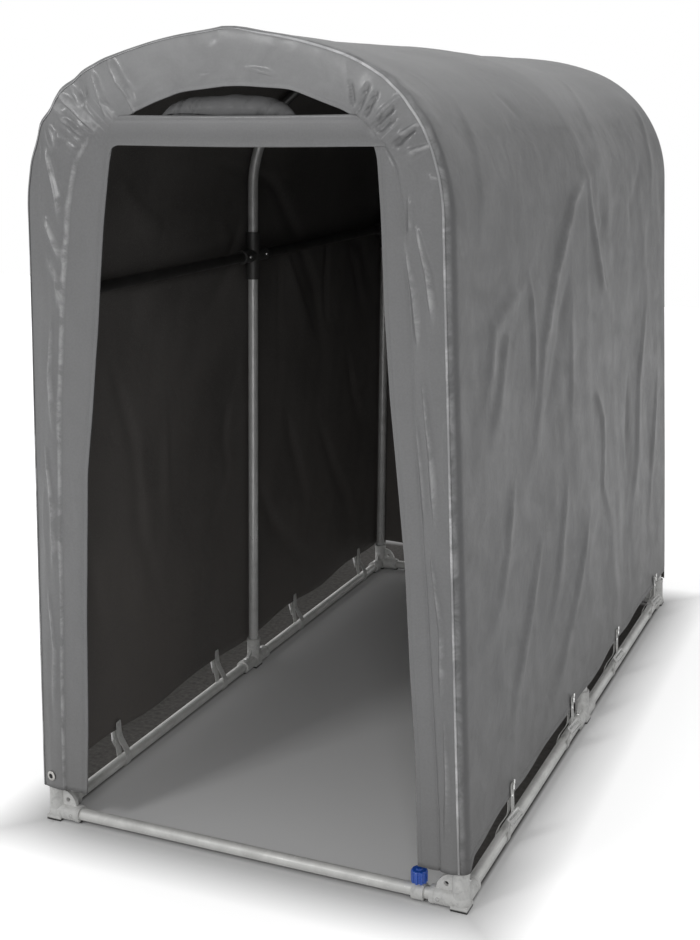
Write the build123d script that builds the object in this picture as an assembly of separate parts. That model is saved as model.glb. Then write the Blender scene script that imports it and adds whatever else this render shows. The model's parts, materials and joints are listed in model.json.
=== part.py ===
from build123d import *
import math
import os

# Driving dimensions of the shelter, in millimetres and degrees
cover_height = 1610
cover_length = 1750
half_width_ground = 471
wall_lean = 1.4
shoulder_radius = 320
shoulder_slope = 20
ridge_slope = 7
ridge_flat = 75
hem_height = 78

# Cover sheet, drawn thicker than the real cloth
cloth = 2.0
cloth_clearance = 0.3

# Pipes and the sockets that join them
pipe_diameter = 25.0
pipe_wall = 1.2
socket_clearance = 0.3
socket_wall = 4.0
socket_depth = 60
pipe_stop = 20
collar_length = 9
collar_lip = 0.8
knuckle_swell = 1.6
foot_height = 10
web_thickness = 8
web_reach = 30
web_hole_radius = 5
ear_bulge = 0.82
brace_bulge = 0.55

# Doorway left open in the front of the cover
opening_half_hem = 366
opening_half_middle = 335
opening_half_header = 273
opening_middle_height = 730
header_bottom = 1400
header_height = 52
arch_gap_half = 232
arch_gap_top = 1507

# Frame heights
rail_height = 1100
crossbar_height = 1426
crossbar_diameter = 19.0
crossbar_wall = 1.0
clamp_length = 22
clamp_wall = 3.0
clamp_clearance = 0.8

# Straps that tie the hem to the side sills
strap_width = 20
strap_thickness = 2.0
strap_first = 265
strap_spacing = 440
strap_count = 4
strap_outer_top = 125
strap_inner_top = 107

# Roll of the front curtain, stowed above the header
roll_radius = 29
roll_half_length = 205
roll_end_radius = 14

# Clamp with a knob on the front sill
knob_radius = 16
knob_height = 24
knob_inset = 84
knob_round = 4
knob_flutes = 10
knob_flute_radius = 3
knob_stem_radius = 7
knob_stem_height = 3
knob_clamp_width = 24

# Sizes worked out from the driving dimensions
pipe_radius = pipe_diameter / 2
bore_radius = pipe_radius + socket_clearance / 2
socket_radius = bore_radius + socket_wall
frame_inset = cloth + cloth_clearance + socket_radius + knuckle_swell
sill_height = socket_radius
front_y = -cover_length / 2
rear_y = cover_length / 2
front_frame_y = front_y + frame_inset
rear_frame_y = rear_y - frame_inset
hoop_places = {"front": front_frame_y, "middle": 0.0, "rear": rear_frame_y}
sides = {"left": -1, "right": 1}


def direction(angle):
    return math.cos(math.radians(angle)), math.sin(math.radians(angle))


# Arch outline: a leaning wall, a shoulder bend, a shallow roof arc and a flat beside the ridge
lean_tangent = math.tan(math.radians(wall_lean))
shoulder_normal = 90 - shoulder_slope
ridge_normal = 90 - ridge_slope
lean_cosine, lean_sine = direction(wall_lean)
shoulder_cosine, shoulder_sine = direction(shoulder_normal)
ridge_cosine, ridge_sine = direction(ridge_normal)
roof_rise_ratio = (ridge_sine - shoulder_sine) / (shoulder_cosine - ridge_cosine)
roof_reach = half_width_ground + shoulder_radius * (shoulder_cosine - lean_cosine) - ridge_flat
spring_height = (
    cover_height
    - ridge_flat * ridge_cosine / ridge_sine
    - shoulder_radius * (shoulder_sine - lean_sine)
    - roof_rise_ratio * roof_reach
) / (1 - roof_rise_ratio * lean_tangent)
spring_x = half_width_ground - spring_height * lean_tangent
shoulder_centre = (
    spring_x - shoulder_radius * lean_cosine,
    spring_height - shoulder_radius * lean_sine,
)
shoulder_end_x = shoulder_centre[0] + shoulder_radius * shoulder_cosine
shoulder_end_z = shoulder_centre[1] + shoulder_radius * shoulder_sine
roof_radius = (shoulder_end_x - ridge_flat) / (shoulder_cosine - ridge_cosine)
roof_centre = (
    shoulder_end_x - roof_radius * shoulder_cosine,
    shoulder_end_z - roof_radius * shoulder_sine,
)


# Points of the outline at a distance inside the cover's outer face
def wall_x(inset, height):
    return half_width_ground - height * lean_tangent - inset / lean_cosine


def shoulder_point(inset, angle):
    cosine, sine = direction(angle)
    radius = shoulder_radius - inset
    return shoulder_centre[0] + radius * cosine, shoulder_centre[1] + radius * sine


def roof_point(inset, angle):
    cosine, sine = direction(angle)
    radius = roof_radius - inset
    return roof_centre[0] + radius * cosine, roof_centre[1] + radius * sine


def ridge_point(inset, x):
    start_x, start_z = roof_point(inset, ridge_normal)
    return x, start_z + (start_x - x) * ridge_cosine / ridge_sine


# Edges of the outline, on the right side or mirrored to the left
def at(point, side=1, y=0.0):
    return side * point[0], y, point[1]


def line(start, end, side=1):
    return Line(at(start, side), at(end, side))


def arc(start, middle, end, side=1):
    return ThreePointArc(at(start, side), at(middle, side), at(end, side))


def wall_line(inset, side, bottom):
    return line((wall_x(inset, bottom), bottom), shoulder_point(inset, wall_lean), side)


def shoulder_arc(inset, side):
    angles = [wall_lean, (wall_lean + shoulder_normal) / 2, shoulder_normal]
    return arc(*[shoulder_point(inset, angle) for angle in angles], side)


def roof_arc(inset, side):
    angles = [shoulder_normal, (shoulder_normal + ridge_normal) / 2, ridge_normal]
    return arc(*[roof_point(inset, angle) for angle in angles], side)


def ridge_line(inset, side, end_x=0.0):
    return line(roof_point(inset, ridge_normal), ridge_point(inset, end_x), side)


# Sheets cut from a closed outline and carried along the length
def sheet(edges, start, end):
    face = make_face(Wire(edges))
    return extrude(Pos(0, start, 0) * face, amount=end - start, dir=(0, 1, 0))


# Bars and tubes between two points
def bar(start, end, radius):
    start, end = Vector(*start), Vector(*end)
    plane = Plane(origin=start, z_dir=end - start)
    return extrude(plane * Circle(radius), amount=(end - start).length)


def tube(start, end, radius, wall):
    return bar(start, end, radius) - bar(start, end, radius - wall)


def step(start, away, distance):
    point = Vector(*start) + Vector(*away).normalized() * distance
    return point.X, point.Y, point.Z


def reverse(away):
    return tuple(-value for value in away)


# Places and directions in the frame
def post_point(side, y, height):
    return side * wall_x(frame_inset, height), y, height


def post_axis(side):
    return -side * lean_sine, 0, lean_cosine


def roof_axis(side):
    return side * ridge_sine, 0, -ridge_cosine


# Moulded joints: a round body with one socket for each pipe, and webs between the sockets
def socket(centre, away):
    end = step(centre, away, socket_depth)
    collar = step(centre, away, socket_depth - collar_length)
    return bar(centre, end, socket_radius) + bar(collar, end, socket_radius + collar_lip)


def web(centre, first, second, bulge):
    origin = Vector(*centre)
    first, second = Vector(*first).normalized(), Vector(*second).normalized()
    reach = socket_radius + web_reach
    near, far = origin + first * reach, origin + second * reach
    bow = origin + (first + second) * (reach * bulge)
    face = make_face(Wire([Line(origin, near), ThreePointArc(near, bow, far), Line(far, origin)]))
    normal = first.cross(second)
    plate = extrude(face, amount=web_thickness / 2, dir=tuple(normal), both=True)
    middle = origin + (first + second) * (reach * bulge - 2 * web_hole_radius)
    hole = [tuple(middle + normal * offset) for offset in (-web_thickness, web_thickness)]
    return plate - bar(*hole, web_hole_radius)


def joint(centre, aways, webs=(), knuckle=True):
    body = Part()
    if knuckle:
        body += Pos(*centre) * Sphere(socket_radius + knuckle_swell)
    for away in aways:
        body += socket(centre, away)
    for first, second, bulge in webs:
        body += web(centre, first, second, bulge)
    for away in aways:
        start, end = step(centre, away, pipe_stop - 1), step(centre, away, socket_depth + 1)
        body -= bar(start, end, bore_radius)
    return body


def foot(centre):
    width = 2 * socket_radius
    block = Box(width, width, foot_height, align=(Align.CENTER, Align.CENTER, Align.MIN))
    return Pos(centre[0], centre[1], 0) * block


def above_ground(shape):
    depth = 100
    ground = Box(4 * half_width_ground, 2 * cover_length, depth)
    return shape - Pos(0, 0, -depth / 2) * ground


def corner_joint(side, y):
    centre = post_point(side, y, sill_height)
    across, up = (-side, 0, 0), post_axis(side)
    along = (0, -math.copysign(1, y), 0)
    webs = [(across, up, ear_bulge), (along, up, brace_bulge)]
    body = joint(centre, [across, along, up], webs)
    return above_ground(body + foot(centre))


def middle_joint(side):
    centre = post_point(side, 0, sill_height)
    ahead, behind, up = (0, -1, 0), (0, 1, 0), post_axis(side)
    webs = [(ahead, up, brace_bulge), (behind, up, brace_bulge)]
    body = joint(centre, [ahead, behind, up], webs)
    return above_ground(body + foot(centre))


# Directions along the length in which a hoop carries a rail or the ridge pipe
def lengthwise(y):
    aways = []
    if y < rear_frame_y:
        aways.append((0, 1, 0))
    if y > front_frame_y:
        aways.append((0, -1, 0))
    return aways


def rail_joint(side, y):
    up = post_axis(side)
    return joint(post_point(side, y, rail_height), [up, reverse(up)] + lengthwise(y))


def ridge_joint(y):
    centre = at(ridge_point(frame_inset, 0), 1, y)
    return joint(centre, [roof_axis(-1), roof_axis(1)] + lengthwise(y), knuckle=False)


# Pipes of the base, the hoops, the rails and the ridge
def pipe(start, end, away):
    inner, outer = step(start, away, pipe_stop), step(end, away, -pipe_stop)
    return tube(inner, outer, pipe_radius, pipe_wall)


def cross_sill(y):
    left, right = post_point(-1, y, sill_height), post_point(1, y, sill_height)
    return pipe(left, right, (1, 0, 0))


def lengthwise_pipe(centre, start_y, end_y):
    return pipe((centre[0], start_y, centre[2]), (centre[0], end_y, centre[2]), (0, 1, 0))


def post(side, y):
    bottom, top = post_point(side, y, sill_height), post_point(side, y, rail_height)
    return pipe(bottom, top, post_axis(side))


def roof_pipe(side, y):
    bottom = rail_height + pipe_stop
    path = Wire([
        wall_line(frame_inset, side, bottom),
        shoulder_arc(frame_inset, side),
        roof_arc(frame_inset, side),
        ridge_line(frame_inset, side, pipe_stop),
    ])
    ring = Circle(pipe_radius) - Circle(pipe_radius - pipe_wall)
    start = Plane(origin=path @ 0, z_dir=path % 0)
    return Pos(0, y, 0) * sweep(start * ring, path=path)


def paired(build):
    return Compound([build(front_frame_y, 0), build(0, rear_frame_y)])


# Header crossbar between the front arch pipes, and the clamps at its ends
# It meets the pipes on their shoulder bend, or on the straight wall where the cover is taller
crossbar_radius = crossbar_diameter / 2
crossbar_rise = (crossbar_height - shoulder_centre[1]) / (shoulder_radius - frame_inset)
if crossbar_rise > lean_sine:
    crossbar_angle = math.degrees(math.asin(crossbar_rise))
    crossbar_end = shoulder_point(frame_inset, crossbar_angle)
else:
    crossbar_angle = wall_lean
    crossbar_end = (wall_x(frame_inset, crossbar_height), crossbar_height)


def crossbar():
    cosine, sine = direction(crossbar_angle)
    hoop_side = (pipe_radius + clamp_clearance + crossbar_radius * sine) / cosine
    reach = crossbar_end[0] - hoop_side
    ends = [at((side * reach, crossbar_height), 1, front_frame_y) for side in (-1, 1)]
    return tube(*ends, crossbar_radius, crossbar_wall)


def crossbar_clamp(side):
    centre = at(crossbar_end, side, front_frame_y)
    cosine, sine = direction(crossbar_angle)
    along = (-side * sine, 0, cosine)
    half = clamp_length / 2
    outer = pipe_radius + clamp_clearance + clamp_wall
    ring = bar(step(centre, along, -half), step(centre, along, half), outer)
    inward = (-side, 0, 0)
    stub_end = step(centre, inward, outer + clamp_length)
    sleeve_radius = crossbar_radius + clamp_clearance / 4
    body = ring + bar(centre, stub_end, sleeve_radius + clamp_wall)
    body -= bar(step(centre, inward, pipe_radius), step(stub_end, inward, 1), sleeve_radius)
    hoop = Wire([wall_line(frame_inset, side, rail_height), shoulder_arc(frame_inset, side)])
    room = Plane(origin=hoop @ 0, z_dir=hoop % 0) * Circle(pipe_radius + clamp_clearance)
    return body - Pos(0, front_frame_y, 0) * sweep(room, path=hoop)


# Cover: flat walls, bent shoulders, roof, rear wall and the front around the doorway
def cover_wall(side):
    return sheet([
        wall_line(0, side, hem_height),
        line(shoulder_point(0, wall_lean), shoulder_point(cloth, wall_lean), side),
        wall_line(cloth, side, hem_height),
        line((wall_x(cloth, hem_height), hem_height), (wall_x(0, hem_height), hem_height), side),
    ], front_y + cloth, rear_y - cloth)


def cover_shoulder(side):
    return sheet([
        shoulder_arc(0, side),
        line(shoulder_point(0, shoulder_normal), shoulder_point(cloth, shoulder_normal), side),
        shoulder_arc(cloth, side),
        line(shoulder_point(cloth, wall_lean), shoulder_point(0, wall_lean), side),
    ], front_y + cloth, rear_y - cloth)


def cover_roof():
    edges = []
    for side in (-1, 1):
        edges += [roof_arc(0, side), ridge_line(0, side)]
        edges += [roof_arc(cloth, side), ridge_line(cloth, side)]
        edges.append(line(
            roof_point(0, shoulder_normal), roof_point(cloth, shoulder_normal), side
        ))
    return sheet(edges, front_y + cloth, rear_y - cloth)


def cover_rear_wall():
    edges = [line((-wall_x(0, hem_height), hem_height), (wall_x(0, hem_height), hem_height))]
    for side in (-1, 1):
        edges += [wall_line(0, side, hem_height), shoulder_arc(0, side)]
        edges += [roof_arc(0, side), ridge_line(0, side)]
    return sheet(edges, rear_y - cloth, rear_y)


def opening_edge(side):
    return arc(
        (opening_half_hem, hem_height),
        (opening_half_middle, opening_middle_height),
        (opening_half_header, header_bottom),
        side,
    )


opening_top = (opening_half_header, header_bottom)
header_corner = (opening_half_header, header_bottom + header_height)
header_angle = math.degrees(math.asin((header_bottom - shoulder_centre[1]) / shoulder_radius))
header_outer = shoulder_point(0, header_angle)


def cover_front_side(side):
    low = (wall_x(0, hem_height), hem_height)
    middle = shoulder_point(0, (wall_lean + header_angle) / 2)
    return sheet([
        line((opening_half_hem, hem_height), low, side),
        wall_line(0, side, hem_height),
        arc(shoulder_point(0, wall_lean), middle, header_outer, side),
        line(header_outer, opening_top, side),
        opening_edge(side),
    ], front_y, front_y + cloth)


def cover_front_arch():
    gap_corner = (arch_gap_half, header_bottom + header_height)
    middle = shoulder_point(0, (header_angle + shoulder_normal) / 2)
    edges = [arc((-gap_corner[0], gap_corner[1]), (0, arch_gap_top), gap_corner)]
    for side in (-1, 1):
        edges += [
            line(opening_top, header_outer, side),
            arc(header_outer, middle, shoulder_point(0, shoulder_normal), side),
            roof_arc(0, side),
            ridge_line(0, side),
            line(gap_corner, header_corner, side),
            line(header_corner, opening_top, side),
        ]
    return sheet(edges, front_y, front_y + cloth)


def header_band():
    size = (2 * opening_half_header, cloth, header_height)
    band = Box(*size, align=(Align.CENTER, Align.MIN, Align.MIN))
    return Pos(0, front_y, header_bottom) * band


def curtain_roll():
    back_from_bar = front_y + cloth + cloth_clearance + roll_radius - front_frame_y
    apart = crossbar_radius + cloth_clearance + roll_radius
    centre_z = crossbar_height + math.sqrt(apart ** 2 - back_from_bar ** 2)
    profile = make_face(Wire([
        Line((-roll_half_length, 0), (-roll_half_length, roll_end_radius)),
        ThreePointArc(
            (-roll_half_length, roll_end_radius),
            (0, roll_radius),
            (roll_half_length, roll_end_radius),
        ),
        Line((roll_half_length, roll_end_radius), (roll_half_length, 0)),
        Line((roll_half_length, 0), (-roll_half_length, 0)),
    ]))
    return Pos(0, front_frame_y + back_from_bar, centre_z) * revolve(profile, Axis.X)


# Straps around the side sills: a ring, a tab outside the hem and a tab inside it
strap_ring_inner = pipe_radius + cloth_clearance
strap_ring_outer = strap_ring_inner + strap_thickness


def strap_places():
    return [front_y + strap_first + strap_spacing * place for place in range(strap_count)]


def strap_tab(inset, top, ring_angle, side, y):
    centre = post_point(1, y, sill_height)
    cosine, sine = direction(ring_angle)
    root_x = centre[0] + (strap_ring_outer - strap_thickness / 2) * cosine
    root_z = centre[2] + (strap_ring_outer - strap_thickness / 2) * sine
    low = hem_height - strap_thickness
    near = inset + strap_thickness
    return sheet([
        line((root_x, root_z), (wall_x(inset, low), low), side),
        line((wall_x(inset, low), low), (wall_x(inset, top), top), side),
        line((wall_x(inset, top), top), (wall_x(near, top), top), side),
        line((wall_x(near, top), top), (wall_x(near, low), low), side),
        line((wall_x(near, low), low), (root_x - strap_thickness, root_z), side),
        line((root_x - strap_thickness, root_z), (root_x, root_z), side),
    ], y - strap_width / 2, y + strap_width / 2)


def hem_strap(side, y):
    centre = post_point(side, y, sill_height)
    ends = [(centre[0], y + half, centre[2]) for half in (-strap_width / 2, strap_width / 2)]
    ring = tube(*ends, strap_ring_outer, strap_thickness)
    outer = strap_tab(-cloth_clearance - strap_thickness, strap_outer_top, 35, side, y)
    inner = strap_tab(cloth + cloth_clearance, strap_inner_top, 80, side, y)
    return ring + outer + inner - bar(*ends, strap_ring_inner)


# Clamp ring on the front sill, and the fluted knob that stands on it
knob_x = post_point(1, 0, sill_height)[0] - knob_inset
knob_seat = sill_height + socket_radius + knob_stem_height


def knob_clamp():
    half = knob_clamp_width / 2
    ends = [(knob_x + offset, front_frame_y, sill_height) for offset in (-half, half)]
    stem_bottom = (knob_x, front_frame_y, sill_height + pipe_radius + socket_clearance)
    stem = bar(stem_bottom, (knob_x, front_frame_y, knob_seat), knob_stem_radius)
    return tube(*ends, socket_radius, socket_wall) + stem


def knob():
    body = extrude(Circle(knob_radius), amount=knob_height)
    body = fillet(body.edges().sort_by(Axis.Z)[-1], knob_round)
    for place in range(knob_flutes):
        cosine, sine = direction(place * 360 / knob_flutes)
        foot_point = (knob_radius * cosine, knob_radius * sine, -1)
        top_point = (knob_radius * cosine, knob_radius * sine, knob_height + 1)
        body -= bar(foot_point, top_point, knob_flute_radius)
    return Pos(knob_x, front_frame_y, knob_seat) * body


# Every node of the shelter
nodes = {}
for place in ("front", "rear"):
    nodes[place + "_sill"] = cross_sill(hoop_places[place])
for name, side in sides.items():
    base = post_point(side, 0, sill_height)
    nodes[name + "_sill_front"] = lengthwise_pipe(base, front_frame_y, 0)
    nodes[name + "_sill_rear"] = lengthwise_pipe(base, 0, rear_frame_y)
    nodes["corner_joint_front_" + name] = corner_joint(side, front_frame_y)
    nodes["corner_joint_rear_" + name] = corner_joint(side, rear_frame_y)
    nodes["middle_joint_" + name] = middle_joint(side)
    rail = post_point(side, 0, rail_height)
    nodes[name + "_rail"] = paired(lambda start, end: lengthwise_pipe(rail, start, end))
    nodes["rail_joints_" + name] = Compound([rail_joint(side, y) for y in hoop_places.values()])
    nodes["hem_straps_" + name] = Compound([hem_strap(side, y) for y in strap_places()])
    nodes["cover_" + name + "_wall"] = cover_wall(side)
    nodes["cover_" + name + "_shoulder"] = cover_shoulder(side)
    nodes["cover_front_" + name] = cover_front_side(side)
for place, y in hoop_places.items():
    for name, side in sides.items():
        nodes[place + "_post_" + name] = post(side, y)
    nodes[place + "_arch"] = Compound([roof_pipe(side, y) for side in sides.values()])
ridge = at(ridge_point(frame_inset, 0))
nodes["ridge_pipe"] = paired(lambda start, end: lengthwise_pipe(ridge, start, end))
nodes["ridge_joints"] = Compound([ridge_joint(y) for y in hoop_places.values()])
nodes["header_crossbar"] = crossbar()
nodes["crossbar_clamps"] = Compound([crossbar_clamp(side) for side in sides.values()])
nodes["cover_roof"] = cover_roof()
nodes["cover_rear_wall"] = cover_rear_wall()
nodes["cover_front_arch"] = cover_front_arch()
nodes["header_band"] = header_band()
nodes["curtain_roll"] = curtain_roll()
nodes["knob_clamp"] = knob_clamp()
nodes["clamp_knob"] = knob()

os.makedirs("parts", exist_ok=True)
for name, shape in nodes.items():
    export_step(shape, "parts/" + name + ".step")
print(len(nodes), "nodes, walls straight up to", round(spring_height), "mm")
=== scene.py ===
import bpy
import json
import math
import numpy as np
from mathutils import Matrix, Vector, noise

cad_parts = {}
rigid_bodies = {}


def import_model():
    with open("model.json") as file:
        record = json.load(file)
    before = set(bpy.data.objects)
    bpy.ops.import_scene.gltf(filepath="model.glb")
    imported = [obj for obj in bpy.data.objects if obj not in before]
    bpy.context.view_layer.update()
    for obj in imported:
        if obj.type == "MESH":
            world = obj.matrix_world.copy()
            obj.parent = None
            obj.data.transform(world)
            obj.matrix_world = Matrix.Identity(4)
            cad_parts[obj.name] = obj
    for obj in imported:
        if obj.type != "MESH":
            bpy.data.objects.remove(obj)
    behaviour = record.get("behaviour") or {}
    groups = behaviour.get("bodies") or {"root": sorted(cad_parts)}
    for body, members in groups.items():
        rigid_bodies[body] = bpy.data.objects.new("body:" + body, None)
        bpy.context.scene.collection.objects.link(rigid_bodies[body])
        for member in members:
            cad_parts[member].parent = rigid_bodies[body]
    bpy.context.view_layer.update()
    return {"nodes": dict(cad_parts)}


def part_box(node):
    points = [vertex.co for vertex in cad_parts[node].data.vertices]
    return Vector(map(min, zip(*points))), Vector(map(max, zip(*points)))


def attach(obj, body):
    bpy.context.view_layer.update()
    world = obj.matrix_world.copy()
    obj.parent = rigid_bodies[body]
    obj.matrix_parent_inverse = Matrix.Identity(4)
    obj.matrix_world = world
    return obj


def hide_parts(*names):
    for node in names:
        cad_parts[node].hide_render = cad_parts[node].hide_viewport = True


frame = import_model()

scene = bpy.context.scene
nodes = frame["nodes"]
print("frame loaded:", len(nodes), "nodes")

# the arch outline of the part, in metres and degrees
outline = {
    "height": 1.61, "halfWidth": 0.471, "lean": 1.4, "shoulderRadius": 0.32,
    "shoulderSlope": 20.0, "ridgeSlope": 7.0, "ridgeFlat": 0.075,
    "hem": 0.078, "front": -0.875, "rear": 0.875,
    "hoops": (-0.85445, 0.0, 0.85445), "railHeight": 1.1, "frameInset": 0.02055,
    "sill": 0.01665,
}


def turn(angle):
    return math.cos(math.radians(angle)), math.sin(math.radians(angle))


def solveOutline(o):
    leanCos, leanSin = turn(o["lean"])
    leanTan = leanSin / leanCos
    shoulderCos, shoulderSin = turn(90 - o["shoulderSlope"])
    ridgeCos, ridgeSin = turn(90 - o["ridgeSlope"])
    radius, flat = o["shoulderRadius"], o["ridgeFlat"]
    rise = (ridgeSin - shoulderSin) / (shoulderCos - ridgeCos)
    reach = o["halfWidth"] + radius * (shoulderCos - leanCos) - flat
    spring = o["height"] - flat * ridgeCos / ridgeSin - radius * (shoulderSin - leanSin) - rise * reach
    spring /= 1 - rise * leanTan
    springX = o["halfWidth"] - spring * leanTan
    centre = (springX - radius * leanCos, spring - radius * leanSin)
    endX, endZ = centre[0] + radius * shoulderCos, centre[1] + radius * shoulderSin
    roofRadius = (endX - flat) / (shoulderCos - ridgeCos)
    roofCentre = (endX - roofRadius * shoulderCos, endZ - roofRadius * shoulderSin)
    return {"leanTan": leanTan, "spring": spring, "centre": centre,
            "roofRadius": roofRadius, "roofCentre": roofCentre}


arch = solveOutline(outline)


def wallX(z):
    return outline["halfWidth"] - z * arch["leanTan"]


def pipeX(z):
    return wallX(z) - outline["frameInset"] / turn(outline["lean"])[0]


# x, z and outward normal of points up the right half of the outline
def halfRows(wallStep, shoulderStep, roofStep):
    lean, top, ridge = outline["lean"], 90 - outline["shoulderSlope"], 90 - outline["ridgeSlope"]
    rows = []
    count = round((arch["spring"] - outline["hem"]) / wallStep)
    for z in np.linspace(outline["hem"], arch["spring"], count, endpoint=False):
        rows.append((wallX(z), z, *turn(lean)))
    count = round(math.radians(top - lean) * outline["shoulderRadius"] / shoulderStep)
    for angle in np.linspace(lean, top, count, endpoint=False):
        c, s = turn(angle)
        rows.append((arch["centre"][0] + outline["shoulderRadius"] * c,
                     arch["centre"][1] + outline["shoulderRadius"] * s, c, s))
    count = round(math.radians(ridge - top) * arch["roofRadius"] / roofStep)
    for angle in np.linspace(top, ridge, count):
        c, s = turn(angle)
        rows.append((arch["roofCentre"][0] + arch["roofRadius"] * c,
                     arch["roofCentre"][1] + arch["roofRadius"] * s, c, s))
    c, s = turn(ridge)
    startX, startZ = rows[-1][:2]
    for share in np.linspace(0, 1, 7)[1:]:
        blend = share ** 3  # the ridge itself is slightly rounded
        normal = Vector((c * (1 - blend), s + (1 - s) * blend)).normalized()
        x = startX * (1 - share)
        rows.append((x, startZ + (startX - x) * c / s - 0.0015 * blend, *normal))
    return np.array(rows)


def stepLengths(path):
    return np.hypot(*np.diff(path, axis=0).T)


# the way along a path to each of its points
def pathRun(path):
    return np.concatenate([[0], np.cumsum(stepLengths(path))])


# left hem, over the ridge, to the right hem, with the run from the nearer hem and the side
def bothSides(rows):
    run = pathRun(rows[:, :2])
    left = rows * np.array([-1, 1, -1, 1])
    full = np.concatenate([left, rows[-2::-1]])
    runs = np.concatenate([run, run[-2::-1]])
    side = np.concatenate([-np.ones(len(rows) - 1), [0], np.ones(len(rows) - 1)])
    return full, runs, side


# one value for each row, repeated over the columns
def overColumns(values, columns):
    return np.repeat(values[:, None], columns, axis=1)


def smooth(x, low, high):
    t = np.clip((x - low) / (high - low), 0, 1)
    return t * t * (3 - 2 * t)


def bell(x, width):
    return np.exp(-(x / width) ** 2)


def noiseField(*coordinates):
    flat = [np.ravel(np.broadcast_to(c, coordinates[0].shape)) for c in coordinates]
    return np.array([noise.noise(Vector(p)) for p in zip(*flat)]).reshape(coordinates[0].shape)


# narrow raised lines, where a noise field passes through zero
def crinkles(*coordinates):
    return np.clip(1 - np.abs(noiseField(*coordinates)) / 0.09, 0, 1) ** 1.5


# how far soft folds, each a path with a width and a height, push a sheet out
def foldLift(across, up, folds, taperIn=0.34, taperOut=0.55):
    lift = np.zeros(across.shape)
    for path, width, height in folds:
        path = np.array(path, float)
        reach = pathRun(path)
        near, share, hand = np.full(across.shape, 9.0), np.zeros(across.shape), np.ones(across.shape)
        for k, length in enumerate(stepLengths(path)):
            (ax, az), (dx, dz) = path[k], path[k + 1] - path[k]
            t = np.clip(((across - ax) * dx + (up - az) * dz) / length ** 2, 0, 1)
            ox, oz = across - ax - t * dx, up - az - t * dz
            distance = np.hypot(ox, oz)
            closer = distance < near
            near = np.where(closer, distance, near)
            share = np.where(closer, (reach[k] + t * length) / reach[-1], share)
            hand = np.where(closer, np.sign(dx * oz - dz * ox), hand)
        taper = smooth(share, -0.12, taperIn - 0.12) * (1 - smooth(share, taperOut, 1.12))
        wide = width * (0.6 + 0.75 * share) * np.where(hand > 0, 1.35, 0.5)
        lift += height * taper * bell(near, wide)
    return lift


def newObject(name, data):
    made = bpy.data.objects.new(name, data)
    scene.collection.objects.link(made)
    return made


def pointsOf(piece):
    return np.array([v.co for v in piece.data.vertices])


# the middle of a CAD node's box
def middleOf(name):
    return [(low + high) / 2 for low, high in zip(*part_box(name))]


# a sheet of quads from rows and columns of points, with a UV map in metres
def gridMesh(name, points, us, vs, flip=False):
    rows, columns = points.shape[:2]
    index = np.arange(rows * columns).reshape(rows, columns)
    a, b, c, d = index[:-1, :-1], index[1:, :-1], index[1:, 1:], index[:-1, 1:]
    quads = np.stack([a, d, c, b] if flip else [a, b, c, d], axis=-1).reshape(-1, 4)
    mesh = bpy.data.meshes.new(name)
    mesh.from_pydata(points.reshape(-1, 3).tolist(), [], quads.tolist())
    layer = mesh.uv_layers.new(name="cloth")
    corner = quads.ravel()
    uv = np.stack([us.ravel()[corner], vs.ravel()[corner]], axis=-1)
    layer.data.foreach_set("uv", uv.astype(np.float32).ravel())
    mesh.validate()
    mesh.shade_smooth()
    return newObject(name, mesh)


def paintAttribute(piece, name, values):
    attribute = piece.data.attributes.new(name, "FLOAT", "POINT")
    attribute.data.foreach_set("value", np.ravel(values).astype(np.float32))


def deselectAll():
    if bpy.context.object is not None and bpy.context.object.mode != "OBJECT":
        bpy.ops.object.mode_set(mode="OBJECT")
    bpy.ops.object.select_all(action="DESELECT")


def pick(*pieces):
    deselectAll()
    for piece in pieces:
        piece.select_set(True)
    bpy.context.view_layer.objects.active = pieces[0]


def applyAll(piece):
    pick(piece)
    for modifier in list(piece.modifiers):
        bpy.ops.object.modifier_apply(modifier=modifier.name)


def dress(piece, *finishes):
    for finish in finishes:
        piece.data.materials.append(finish)


# a sheet gets its cloth outside, the dark lining inside and its thickness inwards
def thicken(piece, cloth, thickness):
    dress(piece, cloth, lining)
    solid = piece.modifiers.new("thickness", "SOLIDIFY")
    solid.thickness = thickness
    solid.offset = -1
    solid.use_even_offset = False
    solid.material_offset = 1
    applyAll(piece)


# a small fitting gets its finish and stays on the one body
def fit(piece, finish):
    dress(piece, finish)
    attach(piece, "root")


def joined(pieces, name):
    pick(*pieces)
    if len(pieces) > 1:
        bpy.ops.object.join()
    pieces[0].name = name
    pieces[0].data.name = name
    return pieces[0]


# copies of a pattern piece, each with its own mesh, joined as one piece, and the pattern removed
def copies(pattern, name, places):
    made = []
    for place in places:
        other = pattern.copy()
        other.data = pattern.data.copy()
        other.data.transform(place)
        scene.collection.objects.link(other)
        made.append(other)
    bpy.data.objects.remove(pattern)
    return joined(made, name)


# stands a piece's z along up, at a place, with its y near along
def standAt(place, up, along=(0, 1, 0)):
    z = Vector(up).normalized()
    x = Vector(along).cross(z).normalized()
    y = z.cross(x)
    return Matrix.Translation(Vector(place)) @ Matrix((x, y, z)).transposed().to_4x4()


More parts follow.
